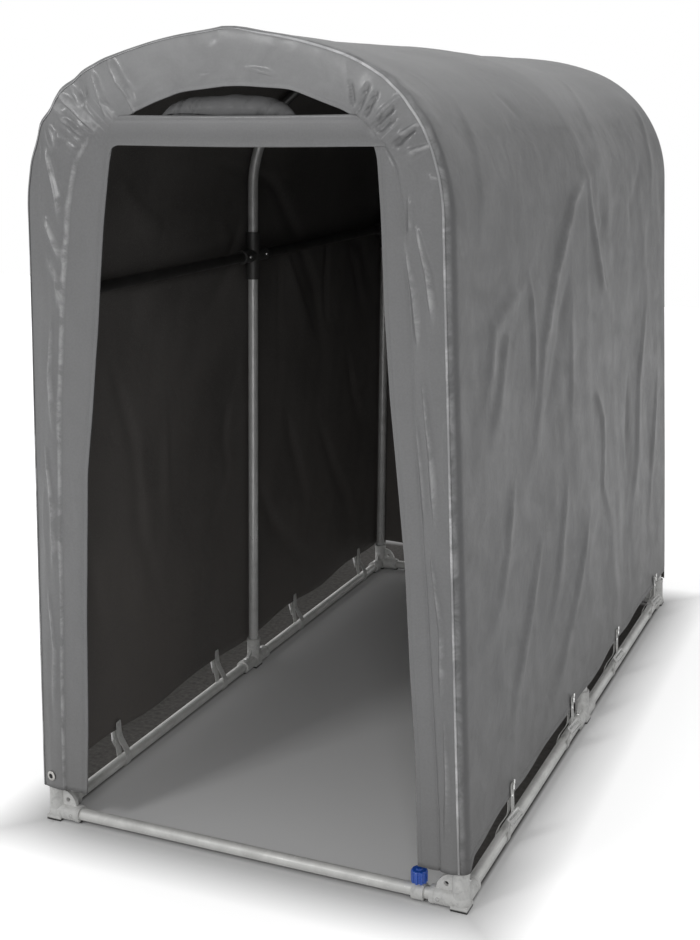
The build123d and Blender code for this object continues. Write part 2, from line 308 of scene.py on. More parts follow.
# a round fitting: a circle drawn up through rings of radius and height, each an extrude and a resize
def ringStack(rings, sides=20, capped=True, closed=False):
    deselectAll()
    fill = "NGON" if capped else "NOTHING"
    bpy.ops.mesh.primitive_circle_add(vertices=sides, radius=rings[0][0], fill_type=fill,
                                      location=(0, 0, 0))
    piece = bpy.context.object
    bpy.ops.object.mode_set(mode="EDIT")
    bpy.ops.mesh.select_all(action="SELECT")
    bpy.ops.transform.translate(value=(0, 0, rings[0][1]))
    for (radius, height), (nextRadius, nextHeight) in zip(rings, rings[1:]):
        rise = {"value": (0, 0, nextHeight - height)}
        if capped:
            bpy.ops.mesh.extrude_region_move(TRANSFORM_OT_translate=rise)
        else:
            bpy.ops.mesh.extrude_edges_move(TRANSFORM_OT_translate=rise)
        share = nextRadius / radius
        bpy.ops.transform.resize(value=(share, share, 1), center_override=(0, 0, 0))
    bpy.ops.mesh.select_all(action="SELECT")
    if closed:
        bpy.ops.mesh.remove_doubles(threshold=0.00002)
    bpy.ops.mesh.normals_make_consistent(inside=False)
    bpy.ops.object.mode_set(mode="OBJECT")
    bpy.ops.object.shade_smooth_by_angle(angle=math.radians(38))
    return piece


def newMaterial(name):
    material = bpy.data.materials.new(name)
    material.use_nodes = True
    tree = material.node_tree
    return material, tree, tree.nodes["Principled BSDF"]


def addNode(tree, kind, **settings):
    made = tree.nodes.new(kind)
    for key, value in settings.items():
        if key in made.inputs:
            made.inputs[key].default_value = value
        else:
            setattr(made, key, value)
    return made


def link(tree, source, target):
    tree.links.new(source, target)


def objectPlace(tree):
    return addNode(tree, "ShaderNodeTexCoord").outputs["Object"]


def noiseNode(tree, vector, scale, detail=3.0, roughness=0.5, distortion=0.0):
    made = addNode(tree, "ShaderNodeTexNoise", Scale=scale, Detail=detail,
                   Roughness=roughness, Distortion=distortion)
    link(tree, vector, made.inputs["Vector"])
    return made.outputs["Fac"]


def rangeNode(tree, source, fromLow, fromHigh, toLow, toHigh):
    made = addNode(tree, "ShaderNodeMapRange")
    limits = {"From Min": fromLow, "From Max": fromHigh, "To Min": toLow, "To Max": toHigh}
    for key, value in limits.items():
        made.inputs[key].default_value = value
    link(tree, source, made.inputs["Value"])
    return made.outputs["Result"]


def mathNode(tree, operation, first, second=None):
    made = addNode(tree, "ShaderNodeMath", operation=operation)
    for slot, value in ((0, first), (1, second)):
        if isinstance(value, bpy.types.NodeSocket):
            link(tree, value, made.inputs[slot])
        elif value is not None:
            made.inputs[slot].default_value = value
    return made.outputs["Value"]


def times(tree, first, second):
    return mathNode(tree, "MULTIPLY", first, second)


def waveNode(tree, source, pitch):
    return mathNode(tree, "SINE", times(tree, source, 2 * math.pi / pitch))


def axesOf(tree, vector):
    made = addNode(tree, "ShaderNodeSeparateXYZ")
    link(tree, vector, made.inputs[0])
    return made.outputs


def mixColour(tree, factor, first, second):
    made = addNode(tree, "ShaderNodeMix", data_type="RGBA")
    for slot, value in ((0, factor), (6, first), (7, second)):
        if isinstance(value, bpy.types.NodeSocket):
            link(tree, value, made.inputs[slot])
        else:
            made.inputs[slot].default_value = (*value, 1)
    return made.outputs[2]


def bumpNode(tree, height, distance, strength=1.0, below=None):
    made = addNode(tree, "ShaderNodeBump", Distance=distance, Strength=strength)
    link(tree, height, made.inputs["Height"])
    if below is not None:
        link(tree, below, made.inputs["Normal"])
    return made.outputs["Normal"]


def tinted(colour, share):
    return tuple(min(1.0, c * share) for c in colour)


coatedCloth = {
    "colour": (0.176, 0.177, 0.180), "pale": (0.212, 0.213, 0.216), "wornAndHighlight": (0.56, 0.56, 0.565),
    "lowTint": (0.19, 0.182, 0.17), "lowTintHeights": (0.08, 0.4), "litTopHeights": (1.42, 1.5),
    "thread": 0.0013, "weaveDepth": 0.00012, "crinkle": 0.0026,
    "roughness": (0.31, 0.44), "matte": 0.13, "coat": 0.38, "coatRoughness": 0.17,
    "stitchEdge": (0.0006, 0.0012), "stitchHeight": 0.0006, "seamWidth": 0.006, "seamDepth": 0.0012,
}


# threads follow the UV map, crinkles lie on Object coordinates, wear with a painted highlight lies on the
# folds and seams, the shade factor gives lit and shaded copies of the cloth, and painted light pales its top
def clothMaterial(name, cloth, crinkle=1.0, shade=1.0, seams=(), gloss=1.0):
    material, tree, shader = newMaterial(name)
    place = objectPlace(tree)
    apart = axesOf(tree, addNode(tree, "ShaderNodeUVMap", uv_map="cloth").outputs["UV"])
    warp = waveNode(tree, apart["X"], cloth["thread"])
    weft = waveNode(tree, apart["Y"], cloth["thread"])
    weave = times(tree, warp, weft)
    broad = noiseNode(tree, place, 2.3, 3, 0.55, 0.4)
    patch = noiseNode(tree, place, 11, 5, 0.6, 0.8)
    speck = noiseNode(tree, place, 240, 2, 0.6)
    wearAndHighlight = addNode(tree, "ShaderNodeAttribute", attribute_name="wearAndHighlight").outputs["Fac"]
    base, pale = tinted(cloth["colour"], shade), tinted(cloth["pale"], shade)
    colour = mixColour(tree, rangeNode(tree, broad, 0.3, 0.7, 0.0, 0.6), base, pale)
    colour = mixColour(tree, rangeNode(tree, patch, 0.42, 0.75, 0.0, 0.25), colour, tinted(base, 0.78))
    colour = mixColour(tree, rangeNode(tree, speck, 0.35, 0.65, 0.0, 0.16), colour, tinted(pale, 1.35))
    # wear and a painted highlight: the folds and seams go pale and glossy, broken up by noise
    brokenLines = rangeNode(tree, noiseNode(tree, place, 24, 5, 0.65, 0.8), 0.40, 0.62, 0.1, 1.0)
    wornAndHighlight = times(tree, rangeNode(tree, wearAndHighlight, 0.25, 1.0, 0.0, 0.8), brokenLines)
    colour = mixColour(tree, wornAndHighlight, colour, tinted(cloth["wornAndHighlight"], shade))
    height = axesOf(tree, place)["Z"]
    # dust near the hem, a little lighter and browner
    low = times(tree, rangeNode(tree, height, *cloth["lowTintHeights"], 0.42, 0.0), patch)
    colour = mixColour(tree, low, colour, tinted(cloth["lowTint"], shade))
    # painted light: the cloth is paler above 1.42 m, where its top gets more light
    high = times(tree, rangeNode(tree, height, *cloth["litTopHeights"], 0.0, 0.8), patch)
    colour = mixColour(tree, high, colour, tinted(pale, 2.1))
    link(tree, colour, shader.inputs["Base Color"])
    smoothest, roughest = cloth["roughness"]
    matte = cloth["matte"] * (1 - gloss)
    rough = rangeNode(tree, patch, 0.3, 0.7, smoothest + matte, roughest + matte)
    rough = mathNode(tree, "SUBTRACT", rough, times(tree, wornAndHighlight, 0.14))
    link(tree, rough, shader.inputs["Roughness"])
    soft = noiseNode(tree, place, 7, 4, 0.55, 1.2)
    across = mathNode(tree, "SUBTRACT", noiseNode(tree, place, 16, 3, 0.5, 1.6), 0.5)
    normal = bumpNode(tree, soft, cloth["crinkle"] * 1.6 * crinkle, 0.55)
    normal = bumpNode(tree, mathNode(tree, "ABSOLUTE", across), cloth["crinkle"] * crinkle, 0.45, normal)
    normal = bumpNode(tree, weave, cloth["weaveDepth"], 0.35, normal)
    for along, over, position, pitch in seams:
        gap = mathNode(tree, "ABSOLUTE", mathNode(tree, "SUBTRACT", apart[over], position))
        dash = mathNode(tree, "GREATER_THAN", waveNode(tree, apart[along], pitch), -0.45)
        stitch = times(tree, rangeNode(tree, gap, *cloth["stitchEdge"], 1.0, 0.0), dash)
        normal = bumpNode(tree, stitch, cloth["stitchHeight"], 0.8, normal)
        sunk = rangeNode(tree, gap, 0.0, cloth["seamWidth"], 0.0, 1.0)
        normal = bumpNode(tree, sunk, cloth["seamDepth"], 0.7, normal)
    link(tree, normal, shader.inputs["Normal"])
    shader.inputs["Coat Weight"].default_value = cloth["coat"] * gloss
    shader.inputs["Specular IOR Level"].default_value = 0.2 + 0.3 * gloss
    shader.inputs["Coat Roughness"].default_value = cloth["coatRoughness"]
    return material


innerCloth = {"colour": (0.092, 0.087, 0.083), "lowTint": (0.135, 0.122, 0.112), "lowTintHeights": (0.1, 1.15)}


# the dark inner face of the cloth, lighter and browner towards the ground
def liningMaterial(name, cloth):
    material, tree, shader = newMaterial(name)
    colour = cloth["colour"]
    place = objectPlace(tree)
    broad = noiseNode(tree, place, 3, 4, 0.6, 0.6)
    fine = noiseNode(tree, place, 380, 2, 0.6)
    spread = rangeNode(tree, broad, 0.3, 0.7, 0.0, 1.0)
    tint = mixColour(tree, spread, tinted(colour, 0.75), tinted(colour, 1.3))
    tint = mixColour(tree, rangeNode(tree, fine, 0.45, 0.7, 0.0, 0.5), tint, tinted(colour, 2.0))
    height = axesOf(tree, place)["Z"]
    towardsGround = times(tree, rangeNode(tree, height, *cloth["lowTintHeights"], 1.2, 0.0), broad)
    tint = mixColour(tree, towardsGround, tint, cloth["lowTint"])
    link(tree, tint, shader.inputs["Base Color"])
    link(tree, rangeNode(tree, broad, 0.3, 0.7, 0.58, 0.78), shader.inputs["Roughness"])
    normal = bumpNode(tree, noiseNode(tree, place, 9, 4, 0.55, 1.0), 0.004, 0.5)
    normal = bumpNode(tree, fine, 0.0002, 0.4, normal)
    link(tree, normal, shader.inputs["Normal"])
    return material


# a band woven in ribs along its length, on its own UV map
def webbingMaterial(name, colour, rib):
    material, tree, shader = newMaterial(name)
    apart = axesOf(tree, addNode(tree, "ShaderNodeUVMap", uv_map="cloth").outputs["UV"])
    ribs = waveNode(tree, apart["X"], rib)
    picks = waveNode(tree, apart["Y"], rib / 2)
    woven = times(tree, ribs, picks)
    darkening = noiseNode(tree, objectPlace(tree), 70, 5, 0.65, 0.5)
    tint = mixColour(tree, rangeNode(tree, woven, -1.0, 1.0, 0.0, 1.0), tinted(colour, 0.82), colour)
    tint = mixColour(tree, rangeNode(tree, darkening, 0.45, 0.75, 0.0, 0.6), tint, tinted(colour, 0.5))
    link(tree, tint, shader.inputs["Base Color"])
    link(tree, rangeNode(tree, darkening, 0.3, 0.7, 0.6, 0.8), shader.inputs["Roughness"])
    link(tree, bumpNode(tree, woven, 0.0004, 0.7), shader.inputs["Normal"])
    return material


# a darker colour, painted shade, that is full at one height and gone at another
def darkened(tree, place, tint, darkening):
    share = rangeNode(tree, axesOf(tree, place)["Z"], darkening["full"], darkening["clear"], 1.0, 0.0)
    return mixColour(tree, share, tint, darkening["colour"])


# painted shade on the sills' and joints' undersides nearest the ground, and painted shade on the hoop's top
# under the roof
sillUndersideShade = {"full": 0.0075, "clear": 0.0105, "colour": (0.012, 0.011, 0.010)}
footUndersideShade = {"full": 0.0025, "clear": 0.0050, "colour": (0.012, 0.011, 0.010)}
archShade = {"full": 1.45, "clear": 1.40, "colour": (0.045, 0.045, 0.044)}


# steel tube or fitting: orange peel, faint scratches and scuffed patches
def metalMaterial(name, colour, roughness, metallic, scratch=0.35, darkening=None):
    material, tree, shader = newMaterial(name)
    place = objectPlace(tree)
    patch = noiseNode(tree, place, 22, 5, 0.6, 0.5)
    peel = noiseNode(tree, place, 420, 2, 0.5)
    stretch = addNode(tree, "ShaderNodeMapping", Scale=(260, 14, 260))
    link(tree, place, stretch.inputs["Vector"])
    lines = noiseNode(tree, stretch.outputs[0], 1.0, 3, 0.6)
    tint = mixColour(tree, rangeNode(tree, patch, 0.35, 0.7, 0.0, 1.0), colour, tinted(colour, 0.8))
    tint = mixColour(tree, rangeNode(tree, lines, 0.62, 0.72, 0.0, scratch), tint, tinted(colour, 1.4))
    # painted shade low on a sill or on the hoop's top, when given
    if darkening:
        tint = darkened(tree, place, tint, darkening)
    link(tree, tint, shader.inputs["Base Color"])
    rough = rangeNode(tree, patch, 0.3, 0.7, roughness - 0.06, roughness + 0.1)
    link(tree, rough, shader.inputs["Roughness"])
    shader.inputs["Metallic"].default_value = metallic
    normal = bumpNode(tree, peel, 0.00012, 0.5)
    normal = bumpNode(tree, lines, 0.00008, 0.4, normal)
    link(tree, normal, shader.inputs["Normal"])
    return material


# moulded plastic: fine spark grain, flow marks and grime in patches
def plasticMaterial(name, colour, roughness, grain=0.4, dirt=0.5, coat=0.0, footing=None):
    material, tree, shader = newMaterial(name)
    place = objectPlace(tree)
    flow = noiseNode(tree, place, 34, 4, 0.6, 1.2)
    spark = noiseNode(tree, place, 900, 2, 0.6)
    darkening = noiseNode(tree, place, 60, 6, 0.7, 0.6)
    spread = rangeNode(tree, flow, 0.3, 0.7, 0.0, 1.0)
    tint = mixColour(tree, spread, tinted(colour, 0.88), tinted(colour, 1.1))
    tint = mixColour(tree, rangeNode(tree, darkening, 0.5, 0.8, 0.0, dirt), tint, tinted(colour, 0.45))
    # painted shade on the underside nearest the ground, when given
    if footing:
        tint = darkened(tree, place, tint, footing)
    link(tree, tint, shader.inputs["Base Color"])
    link(tree, rangeNode(tree, darkening, 0.35, 0.7, roughness, roughness + 0.16), shader.inputs["Roughness"])
    shader.inputs["Coat Weight"].default_value = coat
    shader.inputs["Coat Roughness"].default_value = 0.12
    link(tree, bumpNode(tree, spark, 0.0001, grain), shader.inputs["Normal"])
    return material


hemStitches = [("X", "Y", 0.026, 0.005), ("X", "Y", 0.030, 0.005)]
# the coated cloth in lit and shaded copies: each piece's shade factor is painted shade, darkest on the roll,
# and on the piping it is painted light
bodyCloth = clothMaterial("coatedClothBody", coatedCloth, 1.0, 0.76, hemStitches, 0.1)
frontCloth = clothMaterial("coatedClothFront", coatedCloth, 0.6, 0.865, [("Y", "X", 0.008, 0.005)])
rearCloth = clothMaterial("coatedClothRear", coatedCloth, 1.0, 0.85, hemStitches[:1], 0.2)
headerStitches = [("X", "Y", 0.006, 0.005), ("X", "Y", 0.046, 0.005)]
headerCloth = clothMaterial("coatedClothHeader", coatedCloth, 0.35, 0.82, headerStitches)
rollCloth = clothMaterial("coatedClothRoll", coatedCloth, 1.4, 0.5, (), 0.1)
pipingCloth = clothMaterial("seamPiping", coatedCloth, 0.3, 1.6)
lining = liningMaterial("darkLining", innerCloth)
webbing = webbingMaterial("strapWebbing", (0.80, 0.80, 0.78), 0.0024)
pipePaint = metalMaterial("pipePaint", (0.70, 0.70, 0.69), 0.32, 0.2)
archPaint = metalMaterial("archPaint", (0.70, 0.70, 0.69), 0.36, 0.15, 0.35, archShade)
sillPaint = metalMaterial("sillPaint", (0.74, 0.74, 0.72), 0.36, 0.1, 0.35, sillUndersideShade)
# the rails and their joints are near black: painted shade for pipes that sit in the cover's shadow
shadedRailPaint = metalMaterial("shadedRailPaint", (0.035, 0.034, 0.033), 0.38, 0.1, 0.15)
brightMetal = metalMaterial("brightMetal", (0.66, 0.66, 0.65), 0.24, 0.8)
eyeletMetal = metalMaterial("eyeletMetal", (0.5, 0.49, 0.47), 0.28, 0.9)
jointPlastic = plasticMaterial("jointPlastic", (0.66, 0.66, 0.645), 0.4, 0.4, 0.65, 0.0, footUndersideShade)
shadedRailPlastic = plasticMaterial("shadedRailPlastic", (0.06, 0.059, 0.058), 0.42)
bucklePlastic = plasticMaterial("bucklePlastic", (0.7, 0.7, 0.69), 0.35, 0.3, 0.3)
knobPlastic = plasticMaterial("knobPlastic", (0.02, 0.1, 0.5), 0.22, 0.2, 0.3, 0.5)
holeShade = plasticMaterial("holeShade", (0.012, 0.012, 0.012), 0.8)
print("materials made")

# cover body: walls, shoulders and roof in one sheet
bodyFolds = [  # paths in length and run up the wall, each with a width and a height
    ([(0.003, 1.316), (-0.123, 1.266), (-0.18, 1.195), (-0.256, 1.099),
      (-0.341, 0.969), (-0.366, 0.848), (-0.409, 0.745)], 0.026, 0.0135),
    ([(0.01, 1.313), (0.037, 1.232), (0.078, 1.154), (0.131, 1.053), (0.262, 0.951)], 0.02, 0.013),
    ([(0.19, 1.346), (0.015, 1.306), (-0.229, 1.267)], 0.018, 0.005),
    ([(-0.443, 1.129), (-0.421, 1.08), (-0.407, 0.99), (-0.401, 0.85)], 0.016, 0.0095),
    ([(-0.446, 1.129), (-0.586, 1.091), (-0.667, 1.057), (-0.696, 0.966), (-0.783, 0.885)], 0.024, 0.010),
    ([(-0.667, 1.057), (-0.815, 1.044), (-0.872, 1.042)], 0.018, 0.0042),
    ([(-0.572, 1.048), (-0.607, 1.002), (-0.635, 0.929), (-0.712, 0.818)], 0.026, 0.0095),
    ([(-0.151, 1.104), (-0.264, 0.915), (-0.349, 0.788)], 0.028, -0.009),
    ([(-0.13, 1.072), (-0.143, 0.711)], 0.013, 0.0042),
    ([(0.073, 0.791), (0.135, 0.726), (0.159, 0.607)], 0.018, 0.0105),
    ([(0.418, 0.759), (0.414, 0.523)], 0.016, -0.007),
    ([(0.133, 1.156), (0.293, 1.138), (0.468, 1.132)], 0.024, -0.006),
    ([(-0.771, 1.191), (-0.706, 1.179), (-0.645, 1.177), (-0.548, 1.18)], 0.012, 0.0048),
    ([(0.597, 1.328), (0.532, 1.268), (0.439, 1.204), (0.5, 1.137)], 0.028, -0.007),
    ([(0.111, 1.239), (0.16, 1.198), (0.095, 1.127)], 0.02, -0.007),
    ([(-0.373, 0.561), (-0.431, 0.48), (-0.467, 0.42), (-0.576, 0.293), (-0.6, 0.18)], 0.024, 0.0115),
    ([(0.003, 0.524), (-0.112, 0.352), (-0.245, 0.226), (-0.392, 0.133)], 0.026, 0.0105),
    ([(0.152, 0.637), (0.135, 0.549), (0.241, 0.41)], 0.018, 0.007),
    ([(-0.553, 0.741), (-0.608, 0.614), (-0.66, 0.526), (-0.807, 0.448)], 0.024, 0.0095),
    ([(-0.18, 0.631), (-0.234, 0.499), (-0.313, 0.337)], 0.024, 0.0095),
    ([(-0.872, 0.155), (-0.844, 0.135), (-0.776, 0.105)], 0.014, 0.0042),
    ([(-0.858, 0.685), (-0.777, 0.657), (-0.692, 0.621), (-0.541, 0.581)], 0.013, 0.0048),
    ([(0.62, 0.93), (0.54, 0.74), (0.52, 0.52), (0.43, 0.3)], 0.024, 0.0085),
    ([(0.76, 0.72), (0.7, 0.5), (0.66, 0.3)], 0.02, 0.0075),
    ([(-0.32, 1.53), (-0.303, 1.45)], 0.018, -0.0045),
    ([(0.36, 1.6), (0.22, 1.48), (0.15, 1.38)], 0.022, 0.0042),
    ([(-0.62, 1.5), (-0.7, 1.36), (-0.72, 1.22)], 0.026, 0.0042),
    ([(0.78, 1.5), (0.7, 1.36), (0.68, 1.2)], 0.024, 0.006),
]
body = {
    "wallStep": 0.015, "shoulderStep": 0.0095, "roofStep": 0.0095,
    "frontShare": 0.055, "frontCount": 13, "lengthCount": 138,
    "rightRounding": 0.017, "leftRounding": 0.0045, "ridgeRounding": 0.0035, "rearRounding": 0.018,
    "roundingFade": (1.25, 1.56), "thickness": 0.0011,
    "frontAllowance": ((0.006, 0.010), (0.001, 0.004)), "rearAllowance": 0.012,
    "wallSag": 0.007, "roofSag": 0.010, "ridgeSag": 0.0045, "crownReach": 0.12, "ridgeReach": 0.22,
    "drape": 0.0045, "ripple": 0.0018, "blotch": 0.0016, "foldScale": 0.64,
    "hiddenShift": 0.04, "hiddenScale": -0.96,
    "hoopReach": 0.035, "hoopLift": 0.0012,
    "overPipe": -0.0055, "overJoint": -0.0016, "awayFromPipes": 0.03,
    "pipeReach": (0.017, 0.075), "jointReach": (0.068, 0.1),
    "shoulderPuff": 0.013, "rightPuff": 0.7, "puffPlace": 0.235, "puffWidth": 0.12, "puffReach": 0.1,
    "ridgePeak": 0.004, "ridgePeakX": 0.028, "ridgePeakWidth": 0.035, "ridgePeakReach": 0.09,
    "hemScallop": 0.010, "scallops": 4, "rightScallop": 0.4, "hemReach": 0.03,
    "rightHemRise": 0.025, "leftHemDrop": 0.004, "middleHemDrop": 0.005,
}


# the front corner is broad on the right of the doorway, tight on the left and over the arch
def cornerRadius(z, side):
    share = smooth(z, *body["roundingFade"])
    besideDoor = np.where(side < 0, body["leftRounding"], body["rightRounding"])
    return besideDoor * (1 - share) + body["ridgeRounding"] * share


# 0 at a hoop and 1 halfway between two hoops
def spanShare(y):
    first, middle, last = outline["hoops"]
    near = np.where(y < middle, (y - first) / (middle - first), (y - middle) / (last - middle))
    return np.sin(np.pi * np.clip(near, 0, 1)) ** 2


# the cloth lies on the pipes and sinks no deeper over them, and clears the joints
def deepestLift(y, up, fromRidge):
    hoopGap = np.min([np.abs(y - place) for place in outline["hoops"]], axis=0)
    railGap = np.abs(up - outline["railHeight"])
    pipeGap = np.minimum(hoopGap, np.minimum(railGap, fromRidge))
    away = body["awayFromPipes"] * smooth(pipeGap, *body["pipeReach"])
    jointGap = np.hypot(hoopGap, np.minimum(railGap, fromRidge))
    byJoint = 1 - smooth(jointGap, *body["jointReach"])
    return (body["overPipe"] * (1 - byJoint) + body["overJoint"] * byJoint) - away


# place along the folds: the hidden wall has the seen wall's, turned round
def turnedRound(y, side):
    return np.where(side < 0, body["hiddenShift"] + body["hiddenScale"] * y, y)


# how far the body's cloth stands out from the outline
def bodyLift(y, run, side):
    flatRun = arch["spring"] - outline["hem"]
    crown = smooth(run, flatRun - body["crownReach"], flatRun + body["crownReach"])
    fromRidge = run.max() - run
    ridge = 1 - smooth(fromRidge, 0.0, body["ridgeReach"])
    up = run + outline["hem"]
    lengthwise = turnedRound(y, side)
    wall = body["wallSag"] * (0.35 + 0.65 * np.sin(np.pi * np.clip(run / flatRun, 0, 1)))
    sag = wall * (1 - crown) + body["roofSag"] * crown * (1 - ridge) + body["ridgeSag"] * ridge
    lift = -sag * spanShare(y)
    hanging = smooth(run, 0.0, 0.12) * (1 - 0.93 * crown)
    drape = noiseField(lengthwise * 6.0 + 3.1 * side, up * 1.3 - lengthwise * 1.2, side * 5.0)
    ripple = noiseField(lengthwise * 17.0 + up * 4.0, up * 3.2, side * 9.0 + 2.0)
    blotch = noiseField(lengthwise * 5.0, up * 6.0, side * 3.0 + 8.0)
    lift += (body["drape"] * drape + body["ripple"] * ripple) * hanging + body["blotch"] * blotch * crown
    lift += foldLift(lengthwise, up, bodyFolds) * body["foldScale"] * (1 - 0.35 * ridge)
    lift += (1 - smooth(run, 0.0, 0.05)) * 0.002 * np.sin(lengthwise * 21.0)
    hoop = np.max([bell(y - place, body["hoopReach"]) for place in outline["hoops"]], axis=0)
    lift = lift * (1 - 0.5 * hoop) + body["hoopLift"] * hoop
    return np.maximum(lift, deepestLift(y, up, fromRidge))


# the gathers swell where the band turns over the shoulders
def shoulderPuff(run, side):
    centre = arch["spring"] - outline["hem"] + body["puffPlace"]
    height = body["shoulderPuff"] * bell(run - centre, body["puffWidth"])
    return height * np.where(side < 0, 1.0, body["rightPuff"])


rows, runs, sides = bothSides(halfRows(body["wallStep"], body["shoulderStep"], body["roofStep"]))
count = len(rows)
radii = cornerRadius(rows[:, 1], sides)
startY, endY = outline["front"] + radii, outline["rear"] - body["rearRounding"]
columns = []  # inset, place along the length and how far the lift counts, from the seam to the rear
for inset, depth in body["frontAllowance"]:  # turned in behind the seam
    columns.append((radii + inset, outline["front"] + depth + 0 * radii, 0 * radii))
for angle in np.linspace(0, 90, 7):
    c, s = turn(angle)
    columns.append((radii * (1 - s), outline["front"] + radii * (1 - c), np.full(count, s)))
nearShares = np.linspace(0, body["frontShare"], body["frontCount"])[1:]
farShares = np.linspace(body["frontShare"], 1.0, body["lengthCount"])[1:]
for share in np.concatenate([nearShares, farShares]):
    columns.append((0 * radii, startY + (endY - startY) * share, np.ones(count)))
bend = body["rearRounding"]
for angle in np.linspace(0, 90, 5)[1:]:
    c, s = turn(angle)
    columns.append((np.full(count, bend * (1 - c)), np.full(count, endY + bend * s), np.full(count, c)))
allowance = bend + body["rearAllowance"]
columns.append((np.full(count, allowance), np.full(count, outline["rear"] - 0.0006), np.zeros(count)))
insets, ys, outward = (np.stack([column[k] for column in columns], axis=1) for k in range(3))
runGrid, sideGrid = (overColumns(values, len(columns)) for values in (runs, sides))
fromFront = ys - outline["front"]
puff = shoulderPuff(runGrid, sideGrid) * bell(fromFront, body["puffReach"])
puff = puff * (1 + 0.55 * noiseField(runGrid * 26.0, ys * 8.0, sideGrid * 3.0))
fromPeak = (rows[:, 0][:, None] - body["ridgePeakX"]) / body["ridgePeakWidth"]
peak = body["ridgePeak"] * bell(np.hypot(fromPeak, fromFront / body["ridgePeakReach"]), 1.0)
lift = bodyLift(ys, runGrid, sideGrid) * outward + puff * np.maximum(outward, 0.6) + peak
distance = lift - insets
xs = rows[:, 0][:, None] + rows[:, 2][:, None] * distance
zs = rows[:, 1][:, None] + rows[:, 3][:, None] * distance
alongShare = np.clip(fromFront / (outline["rear"] - outline["front"]), 0, 1)
hemWave = body["hemScallop"] * np.sin(np.pi * alongShare * body["scallops"]) ** 2
hemWave = hemWave - body["middleHemDrop"] * bell(ys, 0.12)
hemWave = hemWave * np.where(sideGrid > 0, body["rightScallop"], 1.0)
hemRise = body["rightHemRise"] * smooth(fromFront, 0.008, 0.036) * (sideGrid > 0)
hemRise = hemRise - body["leftHemDrop"] * (sideGrid < 0)
zs = zs + (hemWave + hemRise) * np.exp(-runGrid / body["hemReach"]) * (np.abs(ys) < 0.86)
ys = ys - 0.45 * puff * (1 - outward)
bodyPoints = np.stack([xs, ys, zs], axis=-1)
coverBody = gridMesh("coverBody", bodyPoints, ys, runGrid)
# the folds and the front edge get wear with a painted highlight
creases = np.abs(foldLift(turnedRound(ys, sideGrid), runGrid + outline["hem"], bodyFolds))
paintAttribute(coverBody, "wearAndHighlight", np.clip(creases / 0.028 + 0.8 * bell(fromFront, 0.005), 0, 1))
thicken(coverBody, bodyCloth, body["thickness"])
seamLine = bodyPoints[:, len(body["frontAllowance"])]
print("cover body:", len(coverBody.data.polygons), "faces")

# cover front: the band round the doorway and the arch, with its gathers
innerEdge = {  # x and z down the middle of the band's inner edge, from the hem to the ridge
    -1: [(0.361, 0.078), (0.352, 0.212), (0.343, 0.459), (0.326, 0.761), (0.309, 0.88), (0.288, 1.048),
         (0.279, 1.135), (0.266, 1.25), (0.246, 1.375), (0.232, 1.42), (0.208, 1.451), (0.153, 1.476),
         (0.088, 1.497), (0.0, 1.506)],
    1: [(0.371, 0.078), (0.367, 0.297), (0.357, 0.459), (0.348, 0.657), (0.337, 0.787), (0.322, 0.953),
        (0.312, 1.117), (0.307, 1.285), (0.300, 1.39), (0.280, 1.435), (0.241, 1.462), (0.203, 1.475),
        (0.136, 1.500), (0.036, 1.507), (0.0, 1.506)],
}
foldLine = {  # distance from the middle of the crease between the flat strip and the outer band
    "z": [0.078, 0.187, 0.383, 0.605, 0.859, 1.11, 1.289, 1.367, 1.41, 1.5],
    "left": [0.412, 0.41, 0.402, 0.394, 0.383, 0.361, 0.338, 0.318, 0.288, 0.2],
    "right": [0.414, 0.412, 0.402, 0.39, 0.373, 0.362, 0.35, 0.335, 0.31, 0.22],
}
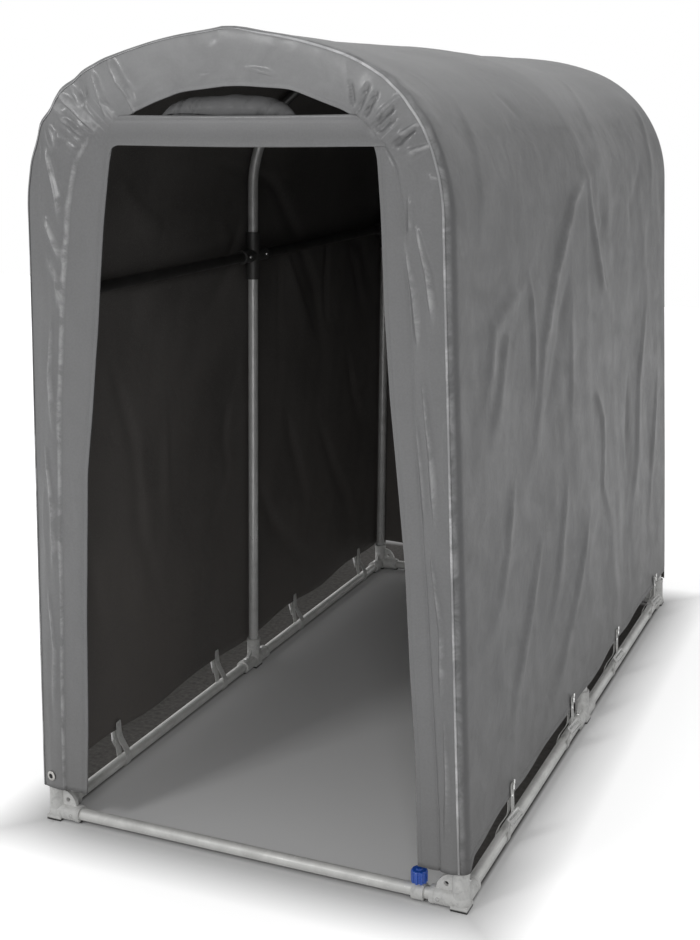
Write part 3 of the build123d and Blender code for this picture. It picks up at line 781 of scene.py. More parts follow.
frontFolds = [  # paths in x and z on the front face, each with a width and a height
    ([(-0.376, 1.434), (-0.359, 1.398)], 0.006, 0.007),
    ([(-0.388, 1.395), (-0.372, 1.335), (-0.364, 1.3), (-0.361, 1.259)], 0.0065, 0.010),
    ([(-0.396, 1.259), (-0.374, 1.21), (-0.363, 1.184)], 0.0065, 0.010),
    ([(-0.395, 1.184), (-0.375, 1.15), (-0.37, 1.09)], 0.0065, 0.007),
    ([(-0.362, 1.502), (-0.313, 1.466), (-0.275, 1.433)], 0.0065, 0.015),
    ([(-0.276, 1.535), (-0.258, 1.49), (-0.243, 1.452)], 0.0055, 0.009),
    ([(-0.244, 1.57), (-0.216, 1.517), (-0.195, 1.491), (-0.184, 1.460)], 0.0065, 0.015),
    ([(-0.258, 1.484), (-0.240, 1.469), (-0.228, 1.448)], 0.005, 0.006),
    ([(-0.350, 1.451), (-0.301, 1.421)], 0.0055, 0.008),
    ([(-0.301, 1.532), (-0.296, 1.482)], 0.006, -0.008),
    ([(-0.325, 1.512), (-0.296, 1.469)], 0.005, 0.008),
    ([(-0.372, 1.478), (-0.335, 1.455)], 0.006, 0.007),
    ([(0.029, 1.598), (0.029, 1.532)], 0.004, 0.003),
    ([(-0.023, 1.585), (-0.025, 1.515)], 0.005, 0.0025),
    ([(0.055, 1.537), (0.1, 1.527)], 0.0035, 0.004),
    ([(0.07, 1.530), (0.11, 1.522)], 0.003, 0.003),
    ([(-0.035, 1.533), (-0.02, 1.524)], 0.003, -0.003),
    ([(0.254, 1.510), (0.258, 1.464)], 0.0045, -0.009),
    ([(0.287, 1.505), (0.261, 1.457)], 0.0045, -0.013),
    ([(0.304, 1.494), (0.278, 1.450)], 0.0042, -0.013),
    ([(0.335, 1.468), (0.290, 1.430)], 0.0045, -0.013),
    ([(0.338, 1.451), (0.300, 1.426)], 0.004, -0.011),
    ([(0.375, 1.434), (0.332, 1.403)], 0.0045, -0.014),
    ([(0.345, 1.488), (0.304, 1.450)], 0.005, 0.010),
    ([(0.383, 1.442), (0.345, 1.418)], 0.005, 0.011),
    ([(0.404, 1.405), (0.358, 1.390)], 0.005, 0.010),
    ([(0.418, 1.345), (0.398, 1.352)], 0.004, 0.006),
    ([(0.36, 1.313), (0.363, 1.25)], 0.006, 0.005),
    ([(0.375, 1.26), (0.394, 1.185), (0.405, 1.10)], 0.006, 0.009),
    ([(0.35, 1.24), (0.368, 1.143), (0.378, 1.05)], 0.006, 0.007),
    ([(0.385, 0.99), (0.40, 0.86), (0.41, 0.72)], 0.0065, 0.007),
    ([(0.37, 0.93), (0.382, 0.82), (0.388, 0.74)], 0.005, 0.005),
    ([(0.40, 0.68), (0.418, 0.55), (0.42, 0.40)], 0.006, 0.0065),
    ([(0.425, 0.38), (0.43, 0.25), (0.428, 0.14)], 0.006, 0.0055),
    ([(-0.39, 1.06), (-0.402, 0.95), (-0.398, 0.84)], 0.0065, 0.007),
    ([(-0.42, 0.8), (-0.41, 0.68), (-0.414, 0.56)], 0.0065, 0.007),
    ([(-0.43, 0.5), (-0.42, 0.38), (-0.43, 0.26)], 0.0065, 0.0055),
]
front = {
    "columns": 56, "wallStep": 0.0105, "shoulderStep": 0.0042, "roofStep": 0.0055,
    "level": 1.08,  # where the inner edge stops being matched by height
    "bandPuff": 0.0042, "stripPuff": 0.0008, "stripStep": 0.0042, "groove": 0.0020,
    "gatherPlace": 0.25, "gatherWidth": 0.10, "gatherSwell": 0.0062, "leftSwell": 0.35,
    "pleatPitch": 0.034, "pleatDepth": 0.0038, "pleatDrift": 3.4,
    "wave": 0.0022, "fineWave": 0.0008, "crinkle": 0.0016, "deepest": -0.0024,
    "hemFold": ((0.0052, 0.022), (0.0046, 0.004), (0.0024, -0.0006)),  # folded back inside
    "seamAllowance": ((0.003, 0.0015), (0.007, 0.006)), "thickness": 0.0011, "uvLength": 3.9,
}


# the inner edge matched to the outline: level beside the doorway, by length over the arch
def innerPath(side, rowsZ, rowsRun):
    path = np.array(innerEdge[side], float)
    fine = np.linspace(0, 1, 1600)
    reach = pathRun(path)
    x, z = (np.interp(fine, reach / reach[-1], path[:, k]) for k in (0, 1))
    kernel = np.hanning(61) / np.hanning(61).sum()
    x, z = (np.convolve(np.pad(v, 30, mode="reflect", reflect_type="odd"), kernel, "valid") for v in (x, z))
    run = pathRun(np.stack([x, z], axis=1))
    level = front["level"]
    edgeStart = np.interp(level, z[:1200], run[:1200])
    rowStart = np.interp(level, rowsZ, rowsRun)
    share = np.clip((rowsRun - rowStart) / (rowsRun[-1] - rowStart), 0, 1)
    low = np.interp(rowsZ, z[:1200], run[:1200])
    place = np.where(rowsZ < level, low, edgeStart + (run[-1] - edgeStart) * share)
    return np.interp(place, run, x), np.interp(place, run, z)


# a row of points a share of the way from the inner edge to the seam
def edgeLayer(share, y):
    place = (innerX + (outerX - innerX) * share, y, innerZ + (outerZ - innerZ) * share)
    return np.stack(place, axis=-1)[:, None, :]


# share of the way round, from the left hem to the right hem
def wayRound(runValues):
    middle = len(runValues) // 2
    way = np.concatenate([runValues[:middle + 1], 2 * runValues.max() - runValues[middle + 1:]])
    return way / way[-1]


fineHalf = halfRows(front["wallStep"], front["shoulderStep"], front["roofStep"])
frontRuns = bothSides(fineHalf)[1]
halfRun = frontRuns[:len(fineHalf)]
leftX, leftZ = innerPath(-1, fineHalf[:, 1], halfRun)
rightX, rightZ = innerPath(1, fineHalf[:, 1], halfRun)
innerX = np.concatenate([-leftX, rightX[-2::-1]])
innerZ = np.concatenate([leftZ, rightZ[-2::-1]])
wayBody, wayFront = wayRound(runs), wayRound(frontRuns)
outerX, outerY, outerZ = (np.interp(wayFront, wayBody, seamLine[:, k]) for k in range(3))
t = np.linspace(0, 1, front["columns"])[None, :]
bandX = innerX[:, None] * (1 - t) + outerX[:, None] * t
bandZ = innerZ[:, None] * (1 - t) + outerZ[:, None] * t
side = np.where(bandX < 0, -1.0, 1.0)
foldX = np.where(side < 0, np.interp(bandZ, foldLine["z"], foldLine["left"]),
                 np.interp(bandZ, foldLine["z"], foldLine["right"]))
beside = 1 - smooth(innerZ, 1.36, 1.44)[:, None] + 0 * bandX  # 1 beside the doorway, 0 over the arch
innerAbs, outerAbs = np.abs(innerX)[:, None], np.abs(outerX)[:, None]
foldAt = np.clip((foldX - innerAbs) / np.maximum(outerAbs - innerAbs, 0.01), 0.05, 0.9)
inBand = np.clip((t - foldAt) / (1 - foldAt), 0, 1)
inStrip = np.clip(t / foldAt, 0, 1)
puffed = front["bandPuff"] * np.sin(np.pi * inBand) ** 0.8 + front["stripPuff"] * np.sin(np.pi * inStrip)
overArch = front["bandPuff"] * 0.75 * np.sin(np.pi * t) ** 0.7
forward = puffed * beside + overArch * (1 - beside)
# on the left the band's edge stands a step over the strip, on the right it lies in a groove
stepUp = front["stripStep"] * smooth(t - foldAt, -0.012, 0.012) * (1 - smooth(inBand, 0.05, 0.6))
groove = front["groove"] * bell(t - foldAt, 0.03)
forward += np.where(side < 0, stepUp, -groove) * beside
# gathers, where the band turns over the shoulders, run from its inner edge and die out
runAcross = overColumns(frontRuns, front["columns"])
shoulderRun = arch["spring"] - outline["hem"] + front["gatherPlace"]
gather = bell(runAcross - shoulderRun, front["gatherWidth"])
drift = front["pleatDrift"] * noiseField(runAcross * 11.0, side * 4.0, 0 * side)
phase = runAcross * 2 * math.pi / front["pleatPitch"] + drift
pleat = np.abs(np.sin(phase)) ** 5 * front["pleatDepth"] * gather * smooth(t, -0.1, 0.25)
pleat = pleat * (1 - smooth(t, 0.45, 0.95)) * (1 - 0.8 * beside * (1 - smooth(inBand, 0.0, 0.2)))
broken = np.clip(0.4 + 1.6 * noiseField(bandX * 13.0, bandZ * 13.0, side * 2.5), 0, 1.3)
outerPart = 0.3 + 0.7 * inBand * beside + 0.35 * gather
waves = noiseField(bandX * 38.0, bandZ * 7.0, side * 2.0) * front["wave"]
waves = (waves + noiseField(bandX * 80.0, bandZ * 22.0, side) * front["fineWave"]) * outerPart
scattered = np.clip(noiseField(bandX * 9.0, bandZ * 4.0, side) * 3, 0, 1)
fine = crinkles(bandX * 30.0, bandZ * 5.0, side * 3.0) * scattered
fine = front["crinkle"] * fine * (0.15 + 0.85 * inBand * beside + 0.5 * gather)
folds = foldLift(bandX, bandZ, frontFolds, 0.3, 0.7)
swell = front["gatherSwell"] * gather * smooth(t, 0.0, 0.18) * (1 - smooth(t, 0.45, 0.95))
forward += swell * np.where(side < 0, front["leftSwell"], 1.0) * (1 - beside * (1 - smooth(inBand, 0.0, 0.2)))
forward += pleat * broken + folds + waves + fine
forward = np.maximum(forward * (1 - t ** 10), front["deepest"])
bandY = outline["front"] * (1 - t ** 3) + outerY[:, None] * t ** 3 - forward
spread = np.maximum(np.hypot(outerX - innerX, outerZ - innerZ), 0.02)
layers = [edgeLayer(outwardBy / spread, bandY[:, 0] + depth) for depth, outwardBy in front["hemFold"]]
layers.append(np.stack([bandX, bandY, bandZ], axis=-1))
layers += [edgeLayer(1 - inwardBy / spread, outerY + depth) for depth, inwardBy in front["seamAllowance"]]
frontPoints = np.concatenate(layers, axis=1)
fromInner = np.hypot(frontPoints[:, :, 0] - innerX[:, None], frontPoints[:, :, 2] - innerZ[:, None])
foldedBack, allowed = len(front["hemFold"]), len(front["seamAllowance"])
fromInner[:, :foldedBack] *= -1
aroundRows = overColumns(wayFront * front["uvLength"], frontPoints.shape[1])
coverFront = gridMesh("coverFront", frontPoints, fromInner, aroundRows)
wearAndHighlight = np.zeros(frontPoints.shape[:2])
# wear and a painted highlight on the raised folds, pleats and crinkles, and a painted highlight along the
# left crease
foldEdge = bell(t - foldAt - 0.018, 0.028) * (side < 0) * beside
raised = np.maximum(folds, 0) / 0.009 + pleat / 0.006 + 0.6 * fine / front["crinkle"]
wearAndHighlight[:, foldedBack:-allowed] = np.clip(raised + foldEdge, 0, 1)
paintAttribute(coverFront, "wearAndHighlight", wearAndHighlight)
thicken(coverFront, frontCloth, front["thickness"])
print("cover front:", len(coverFront.data.polygons), "faces")

# piping sewn into the seam between the band and the body
piping = {"radius": 0.0024, "leftShare": 0.25, "forward": 0.0006, "outward": 0.0002,
          "wearAndHighlight": 0.7, "wearAndHighlightSpread": 1.9}
curve = bpy.data.curves.new("seamPiping", "CURVE")
curve.dimensions = "3D"
curve.bevel_depth = piping["radius"]
curve.bevel_resolution = 2
curve.use_fill_caps = True
spline = curve.splines.new("POLY")
spline.points.add(count - 1)
pipingX = seamLine[:, 0] + rows[:, 2] * piping["outward"]
pipingZ = seamLine[:, 2] + rows[:, 3] * piping["outward"]
pipingPoints = np.stack([pipingX, seamLine[:, 1] - piping["forward"], pipingZ, np.ones(count)], axis=-1)
spline.points.foreach_set("co", pipingPoints.ravel())
pipingShare = piping["leftShare"] + (1 - piping["leftShare"]) * smooth(rows[:, 0], 0.0, 0.12)
spline.points.foreach_set("radius", pipingShare)
pick(newObject("seamPiping", curve))
bpy.ops.object.convert(target="MESH")
seamPiping = bpy.context.object
pipingCo = pointsOf(seamPiping)
# the piping's wear and painted glint, broken up by noise
tight = noiseField(pipingCo[:, 0] * 9.0, pipingCo[:, 2] * 6.0, pipingCo[:, 1] * 0)
paintAttribute(seamPiping, "wearAndHighlight", np.clip(piping["wearAndHighlight"] + piping["wearAndHighlightSpread"] * tight, 0.1, 1))
dress(seamPiping, pipingCloth)
seamPiping.data.shade_smooth()
print("seam piping made")

# cover rear: one hanging sheet, sewn inside the body's rear edge
rearFolds = [
    ([(-0.4, 1.36), (-0.3, 1.2), (-0.24, 0.98), (-0.22, 0.7)], 0.026, 0.009),
    ([(-0.41, 1.28), (-0.36, 1.05), (-0.34, 0.8), (-0.35, 0.5)], 0.022, 0.008),
    ([(0.4, 1.38), (0.31, 1.22), (0.27, 1.0), (0.21, 0.76), (0.2, 0.5)], 0.026, 0.009),
    ([(0.42, 1.25), (0.38, 1.0), (0.37, 0.72)], 0.02, 0.007),
    ([(-0.1, 1.5), (-0.08, 1.2), (-0.02, 0.95)], 0.03, 0.005),
    ([(0.12, 1.45), (0.07, 1.2), (0.1, 0.9), (0.06, 0.62)], 0.028, 0.007),
    ([(-0.12, 0.82), (-0.14, 0.5), (-0.1, 0.2)], 0.026, 0.008),
    ([(0.3, 0.6), (0.34, 0.35), (0.36, 0.14)], 0.024, 0.007),
    ([(-0.3, 0.56), (-0.27, 0.32), (-0.3, 0.12)], 0.024, 0.007),
    ([(0.02, 0.5), (0.05, 0.28), (0.03, 0.1)], 0.022, 0.005),
]
rear = {"columns": 84, "wallStep": 0.016, "archStep": 0.011, "thickness": 0.0011, "hemDip": 0.008,
        "inset": body["rearRounding"] + 0.002, "billow": 0.004, "deepest": -0.0012, "behind": 0.001}
rearHalf = halfRows(rear["wallStep"], rear["archStep"], rear["archStep"])
edgeX = rearHalf[:, 0] - rearHalf[:, 2] * rear["inset"]
edgeZ = rearHalf[:, 1] - rearHalf[:, 3] * rear["inset"]
across = np.linspace(-1, 1, rear["columns"])[None, :]
rearX = np.maximum(edgeX, 0.0006)[:, None] * across
rearZ = edgeZ[:, None] + 0 * rearX
hang = (1 - across ** 4) * (1 - smooth(edgeZ, 1.3, 1.57)[:, None] * 0.7)
billow = rear["billow"] * noiseField(rearX * 6, rearZ * 1.4, 0 * rearX + 7.0)
rearOut = (foldLift(rearX, rearZ, rearFolds) + billow) * hang * smooth(rearZ, 0.07, 0.14)
rearOut = np.maximum(rearOut, rear["deepest"]) + rear["behind"]
hemDip = rear["hemDip"] * np.abs(np.sin(np.pi * across * 1.5)) * np.exp(-(rearZ - outline["hem"]) / 0.03)
rearPoints = np.stack([rearX, outline["rear"] + rearOut, rearZ + hemDip], axis=-1)
coverRear = gridMesh("coverRear", rearPoints, rearX, rearZ - outline["hem"])
# wear and a painted highlight on the rear's folds
paintAttribute(coverRear, "wearAndHighlight", np.clip(np.abs(rearOut) / 0.03, 0, 1))
thicken(coverRear, rearCloth, rear["thickness"])
print("cover rear:", len(coverRear.data.polygons), "faces")

# header band over the doorway
header = {
    "left": -0.268, "right": 0.327, "bottom": 1.401, "top": 1.457, "rows": 16, "columns": 160,
    "corner": 0.024, "doorLeft": -0.246, "thickness": 0.0012, "bow": 0.0024, "droop": 0.003,
    "leftDrop": 0.006, "rightDrop": 0.034,  # how far its top goes down behind the band
    "forward": 0.0022, "ripple": 0.0012, "leftTuck": 0.0045, "rightTuck": 0.006, "rightStep": 0.0022,
}
shareX = np.linspace(0, 1, header["columns"])[None, :]
shareZ = np.linspace(0, 1, header["rows"])[:, None]
headX = header["left"] + (header["right"] - header["left"]) * shareX + 0 * shareZ
droop = -header["droop"] * np.sin(np.pi * shareX)
fromDoor = np.clip(headX - header["doorLeft"], 0.0, header["corner"])
# the doorway's upper left corner is rounded
endDrop = header["corner"] - np.sqrt(header["corner"] ** 2 - (header["corner"] - fromDoor) ** 2)
low = header["bottom"] - endDrop + droop
high = header["top"] - header["leftDrop"] * (1 - smooth(headX, -0.262, -0.2))
high = high - header["rightDrop"] * smooth(headX, 0.252, 0.327) + droop
headZ = low + (high - low) * shareZ
headY = outline["front"] - header["forward"] - header["bow"] * np.sin(np.pi * shareZ)
headY = headY - header["ripple"] * noiseField(headX * 14, headZ * 12, 0 * headX + 3.0)
leftTuck = (1 - smooth(headX, -0.262, -0.236)) * header["leftTuck"]
headY = headY + smooth(headX, 0.268, 0.312) * header["rightTuck"] * shareZ + leftTuck
headY = headY - header["rightStep"] * smooth(headX, 0.285, 0.3)
headPoints = np.stack([headX, headY, headZ], axis=-1)
headerSheet = gridMesh("headerSheet", headPoints, headX, headZ - header["bottom"], flip=True)
# wear and a painted highlight along the header's lower edge
paintAttribute(headerSheet, "wearAndHighlight", 0.4 * bell(shareZ - 0.02, 0.08) + 0 * headX)
thicken(headerSheet, headerCloth, header["thickness"])
print("header made")

# front curtain, rolled up above the header: a spiral that swells in the middle and lies on the crossbar
roll = {
    "turns": 9, "steps": 28, "across": 90, "half": 0.136, "radius": 0.0285, "core": 0.005,
    "middle": -0.006, "barRadius": 0.0095, "barGap": 0.0006, "slack": 0.13, "pull": 0.0046,
    "ends": 0.26, "leftTaper": 2.6, "rightTaper": 3.4, "leftSlant": 26.0, "rightSlant": 17.0,
}
barY, barZ = middleOf("header_crossbar")[1:]
restY, restZ = np.subtract(middleOf("curtain_roll")[1:], (barY, barZ))
restY, restZ = restY / math.hypot(restY, restZ), restZ / math.hypot(restY, restZ)
spin = np.linspace(0, 1, roll["turns"] * roll["steps"] + 1)[:, None]
lie = np.linspace(-1, 1, roll["across"])[None, :]
taper = np.abs(lie) ** np.where(lie < 0, roll["leftTaper"], roll["rightTaper"])
fullness = roll["ends"] + (1 - roll["ends"]) * np.sqrt(np.clip(1 - taper, 0, 1))
loose = noiseField(lie * 4 + 0 * spin, spin * roll["turns"] * 0.5 + 0 * lie, 0 * spin * lie + 4.0)
twist = 2 * math.pi * roll["turns"] * spin + 0.5 * lie + math.radians(200)
outer = roll["radius"] * fullness * (1 + 0 * spin)
wound = roll["core"] + (outer - roll["core"]) * spin
radius = wound * (1 + roll["slack"] * loose * smooth(spin, 0.2, 1.0))
slant = np.where(lie < 0, roll["leftSlant"], roll["rightSlant"])
pull = crinkles(lie * slant * 0.22 + twist * 0.35, 0 * twist + 2.0, np.sign(lie) + 0 * twist)
radius = radius - roll["pull"] * pull * smooth(np.abs(lie), 0.15, 0.5) * spin
radius = np.minimum(radius, outer + 0.001)
resting = roll["barRadius"] + roll["barGap"] + outer
frayed = 1 - 0.04 * np.sin(twist * 3 + 5 * lie) * smooth(np.abs(lie), 0.8, 1.0)
rollX = roll["middle"] + lie * roll["half"] * frayed + 0 * spin
rollY = barY + restY * resting + radius * np.cos(twist)
rollZ = barZ + restZ * resting + radius * np.sin(twist)
unrolled = spin * roll["turns"] * 2 * math.pi * roll["radius"] * 0.6
curtainRoll = gridMesh("curtainRoll", np.stack([rollX, rollY, rollZ], axis=-1), rollX, unrolled + 0 * lie)
paintAttribute(curtainRoll, "wearAndHighlight", 0.15 * pull * spin)
dress(curtainRoll, rollCloth)
print("curtain roll made")

# webbing straps from the hem round the side sills, with ladder buckles and toggle pins
strap = {
    "first": -0.61, "spacing": 0.44, "count": 4, "width": 0.02, "thickness": 0.0016,
    "ringRadius": 0.0137, "outerTop": 0.136, "innerTop": 0.107, "buckle": (0.030, 0.034, 0.0036),
    "clothGap": 0.0005, "insideGap": 0.0054, "wander": 0.0016,
    "buckleTurn": 0.8, "buckleFacing": -0.6, "webbingOut": 0.0016, "buckleOut": 0.004,
    "pinHeight": 0.122, "pinOut": 0.0036, "rivetHeight": 0.108, "rivetOut": 0.0008,
}
strapYs = [strap["first"] + strap["spacing"] * k for k in range(strap["count"])]
bodyCo = pointsOf(coverBody)


# how far the cloth stands out near the hem, with its lean taken off
def hemFace(y, side):
    near = (np.sign(bodyCo[:, 0]) == side) & (np.abs(bodyCo[:, 1] - y) < 0.016) & (bodyCo[:, 2] < 0.14)
    return float((np.abs(bodyCo[near][:, 0]) + bodyCo[near][:, 2] * arch["leanTan"]).max())


# the webbing's line in x and z, from the outer tab round the sill to the inner tab
def strapPath(out, inside):
    lean, sillX = arch["leanTan"], pipeX(outline["sill"])
    line = [(out - z * lean, z) for z in (strap["outerTop"], 0.112, 0.09)] + [(out - 0.001, 0.070)]
    for angle in range(32, -201, -16):
        c, s = turn(angle)
        line.append((sillX + strap["ringRadius"] * c, outline["sill"] + strap["ringRadius"] * s))
    line += [(sillX - 0.0085, 0.04), (inside - 0.0035, 0.062), (inside - 0.001, 0.08)]
    line.append((inside - 0.0015, strap["innerTop"]))
    return np.array([(x, max(z, 0.0012)) for x, z in line])


def makeStrap(path, y, side):
    wide = np.linspace(-0.5, 0.5, 5)[None, :] * strap["width"]
    wander = strap["wander"] * np.sin(np.arange(len(path)) * 0.7)[:, None]
    points = np.stack([side * path[:, :1] + 0 * wide, y + wide + wander, path[:, 1:] + 0 * wide], axis=-1)
    run = pathRun(path)[:, None]
    made = gridMesh("hemStrap", points, wide + 0 * run, run + 0 * wide, flip=side > 0)
    solid = made.modifiers.new("thickness", "SOLIDIFY")
    solid.thickness = strap["thickness"]
    solid.offset = 0
    bend = made.modifiers.new("rounding", "SUBSURF")
    bend.levels = bend.render_levels = 1
    dress(made, webbing)
    applyAll(made)
    return made


# a ladder buckle: a plate inset into two windows, given its depth and rounded
def makeBuckle():
    wide, high, deep = strap["buckle"]
    deselectAll()
    bpy.ops.mesh.primitive_grid_add(x_subdivisions=2, y_subdivisions=1, size=1, location=(0, 0, 0))
    piece = bpy.context.object
    bpy.ops.object.mode_set(mode="EDIT")
    bpy.ops.mesh.select_all(action="SELECT")
    bpy.ops.transform.resize(value=(wide, high, 1))
    bpy.ops.mesh.inset(thickness=deep, use_individual=True)
    bpy.ops.mesh.delete(type="FACE")
    bpy.ops.mesh.select_all(action="SELECT")
    bpy.ops.mesh.extrude_region_move(TRANSFORM_OT_translate={"value": (0, 0, deep)})
    bpy.ops.mesh.select_all(action="SELECT")
    bpy.ops.mesh.normals_make_consistent(inside=False)
    bpy.ops.object.mode_set(mode="OBJECT")
    rounding = piece.modifiers.new("rounding", "BEVEL")
    rounding.width = 0.0008
    rounding.segments = 2
    applyAll(piece)
    bpy.ops.object.shade_smooth_by_angle(angle=math.radians(35))
    return piece


pinRings = [(0.0017, 0.0), (0.0025, 0.0009), (0.0025, 0.008), (0.0019, 0.009), (0.0019, 0.0115),
            (0.0025, 0.0125), (0.0025, 0.0195), (0.0017, 0.0208)]
rivetRings = [(0.0042, -0.0012), (0.0042, 0.0004), (0.0034, 0.0015), (0.0015, 0.0017), (0.0012, 0.001)]
strapSheets = {}
rivetPlaces = []
for side, word in ((-1, "Left"), (1, "Right")):
    group, bucklePlaces, pinPlaces = [], [], []
    for y in strapYs:
        out = hemFace(y, side) + strap["clothGap"] + strap["thickness"] / 2
        path = strapPath(out, wallX(0.09) - strap["insideGap"])
        group.append(makeStrap(path, y, side))
        (topX, topZ), (lowX, lowZ) = path[3], path[4]
        lean = Vector((topX - lowX, 0, topZ - lowZ)).normalized()
        outwards = Vector((side * lean.z, 0, -abs(lean.x)))
        middle = Vector((side * (topX * 0.9 + lowX * 0.1), y, topZ * 0.9 + lowZ * 0.1))
        middle = middle + outwards * strap["webbingOut"] + outwards * strap["buckleOut"]
        facing = outwards + Vector((0, strap["buckleFacing"], 0))
        bucklePlaces.append(standAt(middle, facing, (0, 1, strap["buckleTurn"])))
        pinX = side * (out + strap["pinOut"] - strap["pinHeight"] * arch["leanTan"])
        pinPlaces.append(standAt((pinX, y - 0.002, strap["pinHeight"]), (0, 0.2, 1)))
        rivetX = side * (out + strap["rivetOut"] - strap["rivetHeight"] * arch["leanTan"])
        rivetPlaces.append(standAt((rivetX, y, strap["rivetHeight"]), (side, 0, 0)))
    strapSheets[side] = joined(group, "hemStraps" + word)
    fit(copies(makeBuckle(), "strapBuckles" + word, bucklePlaces), bucklePlastic)
    fit(copies(ringStack(pinRings, 14), "togglePins" + word, pinPlaces), brightMetal)
fit(copies(ringStack(rivetRings, 16), "strapRivets", rivetPlaces), brightMetal)
print("straps, buckles and pins made")

# eyelets: one in the front left corner of the hem, and one in each rear corner
eyelet = {"hole": 0.0052, "outer": 0.0105, "lift": 0.0019,
          "front": ((-0.444, 0.104),), "rear": (-0.4, 0.4), "height": 0.1}
eyeletRings = [(eyelet["hole"], 0.0), (eyelet["hole"], 0.0012), (eyelet["hole"] + 0.0012, eyelet["lift"]),
               (eyelet["outer"] - 0.0016, eyelet["lift"] * 0.8), (eyelet["outer"], 0.0003),
               (eyelet["outer"] - 0.002, -0.0006), (eyelet["hole"], 0.0)]
holeRings = [(eyelet["hole"] + 0.0003, 0.0003), (eyelet["hole"] - 0.0016, 0.0006)]
eyeletPlaces = []
bandCo = pointsOf(coverFront)
for x, z in eyelet["front"]:
    close = np.hypot(bandCo[:, 0] - x, bandCo[:, 2] - z) < 0.012
    place = (x, float(bandCo[close][:, 1].min()) - 0.0002, z)
    eyeletPlaces.append(standAt(place, (math.copysign(0.18, x), -1, 0), (0, 0, 1)))
for x in eyelet["rear"]:
    eyeletPlaces.append(standAt((x, outline["rear"] + 0.0024, eyelet["height"]), (0, 1, 0), (0, 0, 1)))
eyeletRing = ringStack(eyeletRings, 28, capped=False, closed=True)
fit(copies(eyeletRing, "hemEyelets", eyeletPlaces), eyeletMetal)
# a black disc in each eyelet is painted shade for the hole
fit(copies(ringStack(holeRings, 20), "eyeletHoles", eyeletPlaces), holeShade)

# rivets that hold the pipes in the moulded sockets
socket = {"reach": 0.042, "radius": 0.01665}
socketPlaces = []
radius, sill, rail = socket["radius"], outline["sill"], outline["railHeight"]
for side in (-1, 1):
    sillX, railX = side * pipeX(sill), side * (pipeX(rail) - radius)
    inward = sillX - side * socket["reach"]
    for y in (outline["hoops"][0], outline["hoops"][2]):
        outY = math.copysign(1, y)
        socketPlaces.append(standAt((inward, y, sill + radius), (0, 0, 1)))
        socketPlaces.append(standAt((sillX, y - outY * socket["reach"], sill + radius), (0, 0, 1)))
        socketPlaces.append(standAt((inward, y + outY * radius, sill), (0, outY, 0), (0, 0, 1)))
    for away in (-socket["reach"], socket["reach"]):
        socketPlaces.append(standAt((sillX, away, sill + radius), (0, 0, 1)))
        for y in outline["hoops"]:
            if abs(y + away) < outline["hoops"][2]:
                socketPlaces.append(standAt((railX, y + away, rail), (-side, 0, 0), (0, 0, 1)))
fit(copies(ringStack(rivetRings, 16), "socketRivets", socketPlaces), brightMetal)

# cap on the clamp knob
capRings = [(0.0089, -0.0008), (0.0086, 0.0), (0.0066, 0.0004), (0.0062, 0.0014),
            (0.0042, 0.0021), (0.0016, 0.0023)]
knobTop = Vector((*middleOf("clamp_knob")[:2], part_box("clamp_knob")[1].z))
fit(copies(ringStack(capRings, 28), "knobCap", [Matrix.Translation(knobTop)]), knobPlastic)
print("eyelets, rivets and knob cap made")

# CAD nodes keep their shapes and get finishes
soft = ("cover_", "header_band", "curtain_roll", "hem_straps")
for name, thing in nodes.items():
    if name.startswith(soft):
        continue
    if name == "clamp_knob":
        finish = knobPlastic
    elif name.startswith("rail_joints"):
        finish = shadedRailPlastic
    elif name.endswith("_rail"):
        finish = shadedRailPaint
    elif "joint" in name or "clamp" in name:
        finish = jointPlastic
    elif "sill" in name:
        finish = sillPaint
    elif name == "middle_arch":
        finish = archPaint
    else:
        finish = pipePaint
    thing.data.materials.clear()
    dress(thing, finish)
print("CAD nodes finished")

# what each piece rides on, stands for and is cut from
for piece, slot, replaced in (
    (coverBody, "cover", ("cover_left_wall", "cover_right_wall", "cover_left_shoulder",
                          "cover_right_shoulder", "cover_roof")),
    (coverFront, "cover", ("cover_front_left", "cover_front_right", "cover_front_arch")),
    (coverRear, "cover", ("cover_rear_wall",)),
    (headerSheet, "cover", ("header_band",)),
    (curtainRoll, "curtain", ("curtain_roll",)),
    (strapSheets[-1], "strap", ("hem_straps_left",)),
    (strapSheets[1], "strap", ("hem_straps_right",)),
):
    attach(piece, "root")
    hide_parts(*replaced)
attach(seamPiping, "root")

# floor, backdrop, lights and camera
stage = {
    "floor": 14.0, "floorLevel": -0.0006, "floorColour": (0.84, 0.84, 0.84), "world": 0.42,
    "halfX": 0.47, "halfY": 0.875,  # the base, from which the glow is measured
    "glowAt": (0.002, 0.13, 1.3), "stepGlow": 0.62, "farGlow": 1.0,
    "shadeColour": (0.11, 0.105, 0.10), "shadeGrain": 90.0,
    # painted shade patches: low and high, then the soft edges below and above, along x and along y
    "besideLeft": ((-0.58, -0.452, 0.15, 0.01), (-0.86, 1.0, 0.04, 0.17)),
    "insideRight": ((0.39, 0.455, 0.01, 0.01), (-0.82, 0.82, 0.02, 0.02)),
    "behindRear": ((-0.58, 0.33, 0.15, 0.08), (0.87, 1.08, 0.01, 0.17)),
    "leftSlope": 0.72, "leftCut": (-1.09, -1.06),  # the left patch ends on a slant at the front
}


# the white surround is only for the rays that should meet it
def surround(tree, plain, glowing, output):
    choose = addNode(tree, "ShaderNodeMixShader")
    paths = addNode(tree, "ShaderNodeLightPath")
    seen = mathNode(tree, "ADD", paths.outputs["Is Camera Ray"], paths.outputs["Is Glossy Ray"])
    seen = mathNode(tree, "ADD", seen, paths.outputs["Is Transmission Ray"])
    for slot, source in enumerate((mathNode(tree, "MINIMUM", seen, 1.0), plain, glowing)):
        link(tree, source, choose.inputs[slot])
    link(tree, choose.outputs[0], tree.nodes[output].inputs["Surface"])


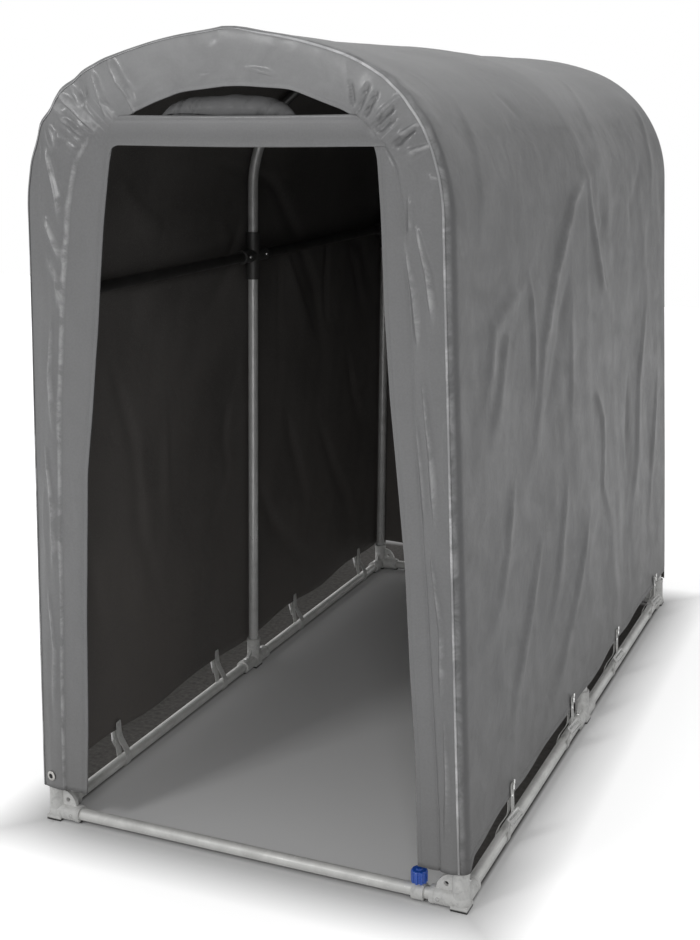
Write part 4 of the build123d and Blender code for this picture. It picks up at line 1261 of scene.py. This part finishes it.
# 1 from low to high, fading to 0 over a soft edge on either side
def between(tree, source, low, high, softLow, softHigh):
    rising = rangeNode(tree, source, low - softLow, low, 0.0, 1.0)
    return times(tree, rising, rangeNode(tree, source, high, high + softHigh, 1.0, 0.0))


def patchOf(tree, place, rangeX, rangeY):
    return times(tree, between(tree, place["X"], *rangeX), between(tree, place["Y"], *rangeY))


deselectAll()
bpy.ops.mesh.primitive_plane_add(size=stage["floor"], location=(0, 0, stage["floorLevel"]))
floor = bpy.context.object
floor.name = "floor"
floorMaterial, tree, shader = newMaterial("paleFloor")
shader.inputs["Roughness"].default_value = 0.9
shader.inputs["Specular IOR Level"].default_value = 0.1

# the floor glows white away from the shelter and keeps its shade beneath it
spot = axesOf(tree, objectPlace(tree))
outX = mathNode(tree, "SUBTRACT", mathNode(tree, "ABSOLUTE", spot["X"]), stage["halfX"])
outY = mathNode(tree, "SUBTRACT", mathNode(tree, "ABSOLUTE", spot["Y"]), stage["halfY"])
away = mathNode(tree, "MAXIMUM", outX, outY)
glowStart, glowStep, glowEnd = stage["glowAt"]
nearby = rangeNode(tree, away, glowStart, glowStep, 0.0, stage["stepGlow"])
distant = rangeNode(tree, away, glowStep, glowEnd, 0.0, stage["farGlow"] - stage["stepGlow"])

# and has painted shade, soft dark patches beside the left and rear sills and inside the right one, seen under
# the hems
slanted = mathNode(tree, "ADD", spot["X"], times(tree, spot["Y"], stage["leftSlope"]))
besideLeft = patchOf(tree, spot, *stage["besideLeft"])
besideLeft = times(tree, besideLeft, rangeNode(tree, slanted, *stage["leftCut"], 0.0, 1.0))
insideRight = patchOf(tree, spot, *stage["insideRight"])
behindRear = patchOf(tree, spot, *stage["behindRear"])
paintedShade = mathNode(tree, "MAXIMUM", besideLeft, mathNode(tree, "MAXIMUM", insideRight, behindRear))
grain = noiseNode(tree, objectPlace(tree), stage["shadeGrain"])
shadeColour = mixColour(tree, grain, tinted(stage["shadeColour"], 0.4), tinted(stage["shadeColour"], 1.6))
link(tree, mixColour(tree, paintedShade, stage["floorColour"], shadeColour), shader.inputs["Base Color"])
glow = addNode(tree, "ShaderNodeEmission")
unshaded = mathNode(tree, "SUBTRACT", 1.0, paintedShade)
bright = times(tree, mathNode(tree, "ADD", nearby, distant), unshaded)
link(tree, bright, glow.inputs["Strength"])
lit = addNode(tree, "ShaderNodeAddShader")
link(tree, shader.outputs[0], lit.inputs[0])
link(tree, glow.outputs[0], lit.inputs[1])
surround(tree, shader.outputs[0], lit.outputs[0], "Material Output")
dress(floor, floorMaterial)

world = bpy.data.worlds.new("studio")
scene.world = world
world.use_nodes = True
tree = world.node_tree
back = tree.nodes["Background"]
back.inputs["Color"].default_value = (1, 1, 1, 1)
back.inputs["Strength"].default_value = stage["world"]
white = addNode(tree, "ShaderNodeBackground", Strength=1.0)
white.inputs["Color"].default_value = (1, 1, 1, 1)
surround(tree, back.outputs[0], white.outputs[0], "World Output")

lights = [  # name, place, target, size, power
    ("keySoftbox", (-1.9, -4.6, 3.2), (0.0, -0.8, 0.9), 0.9, 38.0),
    ("grazingSoftbox", (2.0, -4.8, 2.8), (0.4, -0.3, 0.8), 0.9, 27.0),
    ("topSoftbox", (1.2, -0.4, 3.9), (0.1, 0.0, 1.2), 1.2, 8.0),
]
for name, place, target, size, power in lights:
    lamp = bpy.data.lights.new(name, "AREA")
    lamp.shape = "SQUARE"
    lamp.size = size
    lamp.energy = power
    holder = newObject(name, lamp)
    holder.location = place
    holder.rotation_euler = (Vector(target) - Vector(place)).to_track_quat("-Z", "Y").to_euler()

view = {"place": (1.2498, -3.0625, 1.4649), "turn": (80.8449, 0.3346, 22.4891), "lens": 52.627,
        "shift": (-0.05319, -0.14894)}
camera = bpy.data.cameras.new("camera")
camera.lens = view["lens"]
camera.sensor_width = 36
camera.shift_x, camera.shift_y = view["shift"]
camera.clip_end = 60
eye = newObject("camera", camera)
eye.location = view["place"]
eye.rotation_euler = [math.radians(angle) for angle in view["turn"]]
scene.camera = eye
scene.view_settings.view_transform = "Standard"
print("stage set")
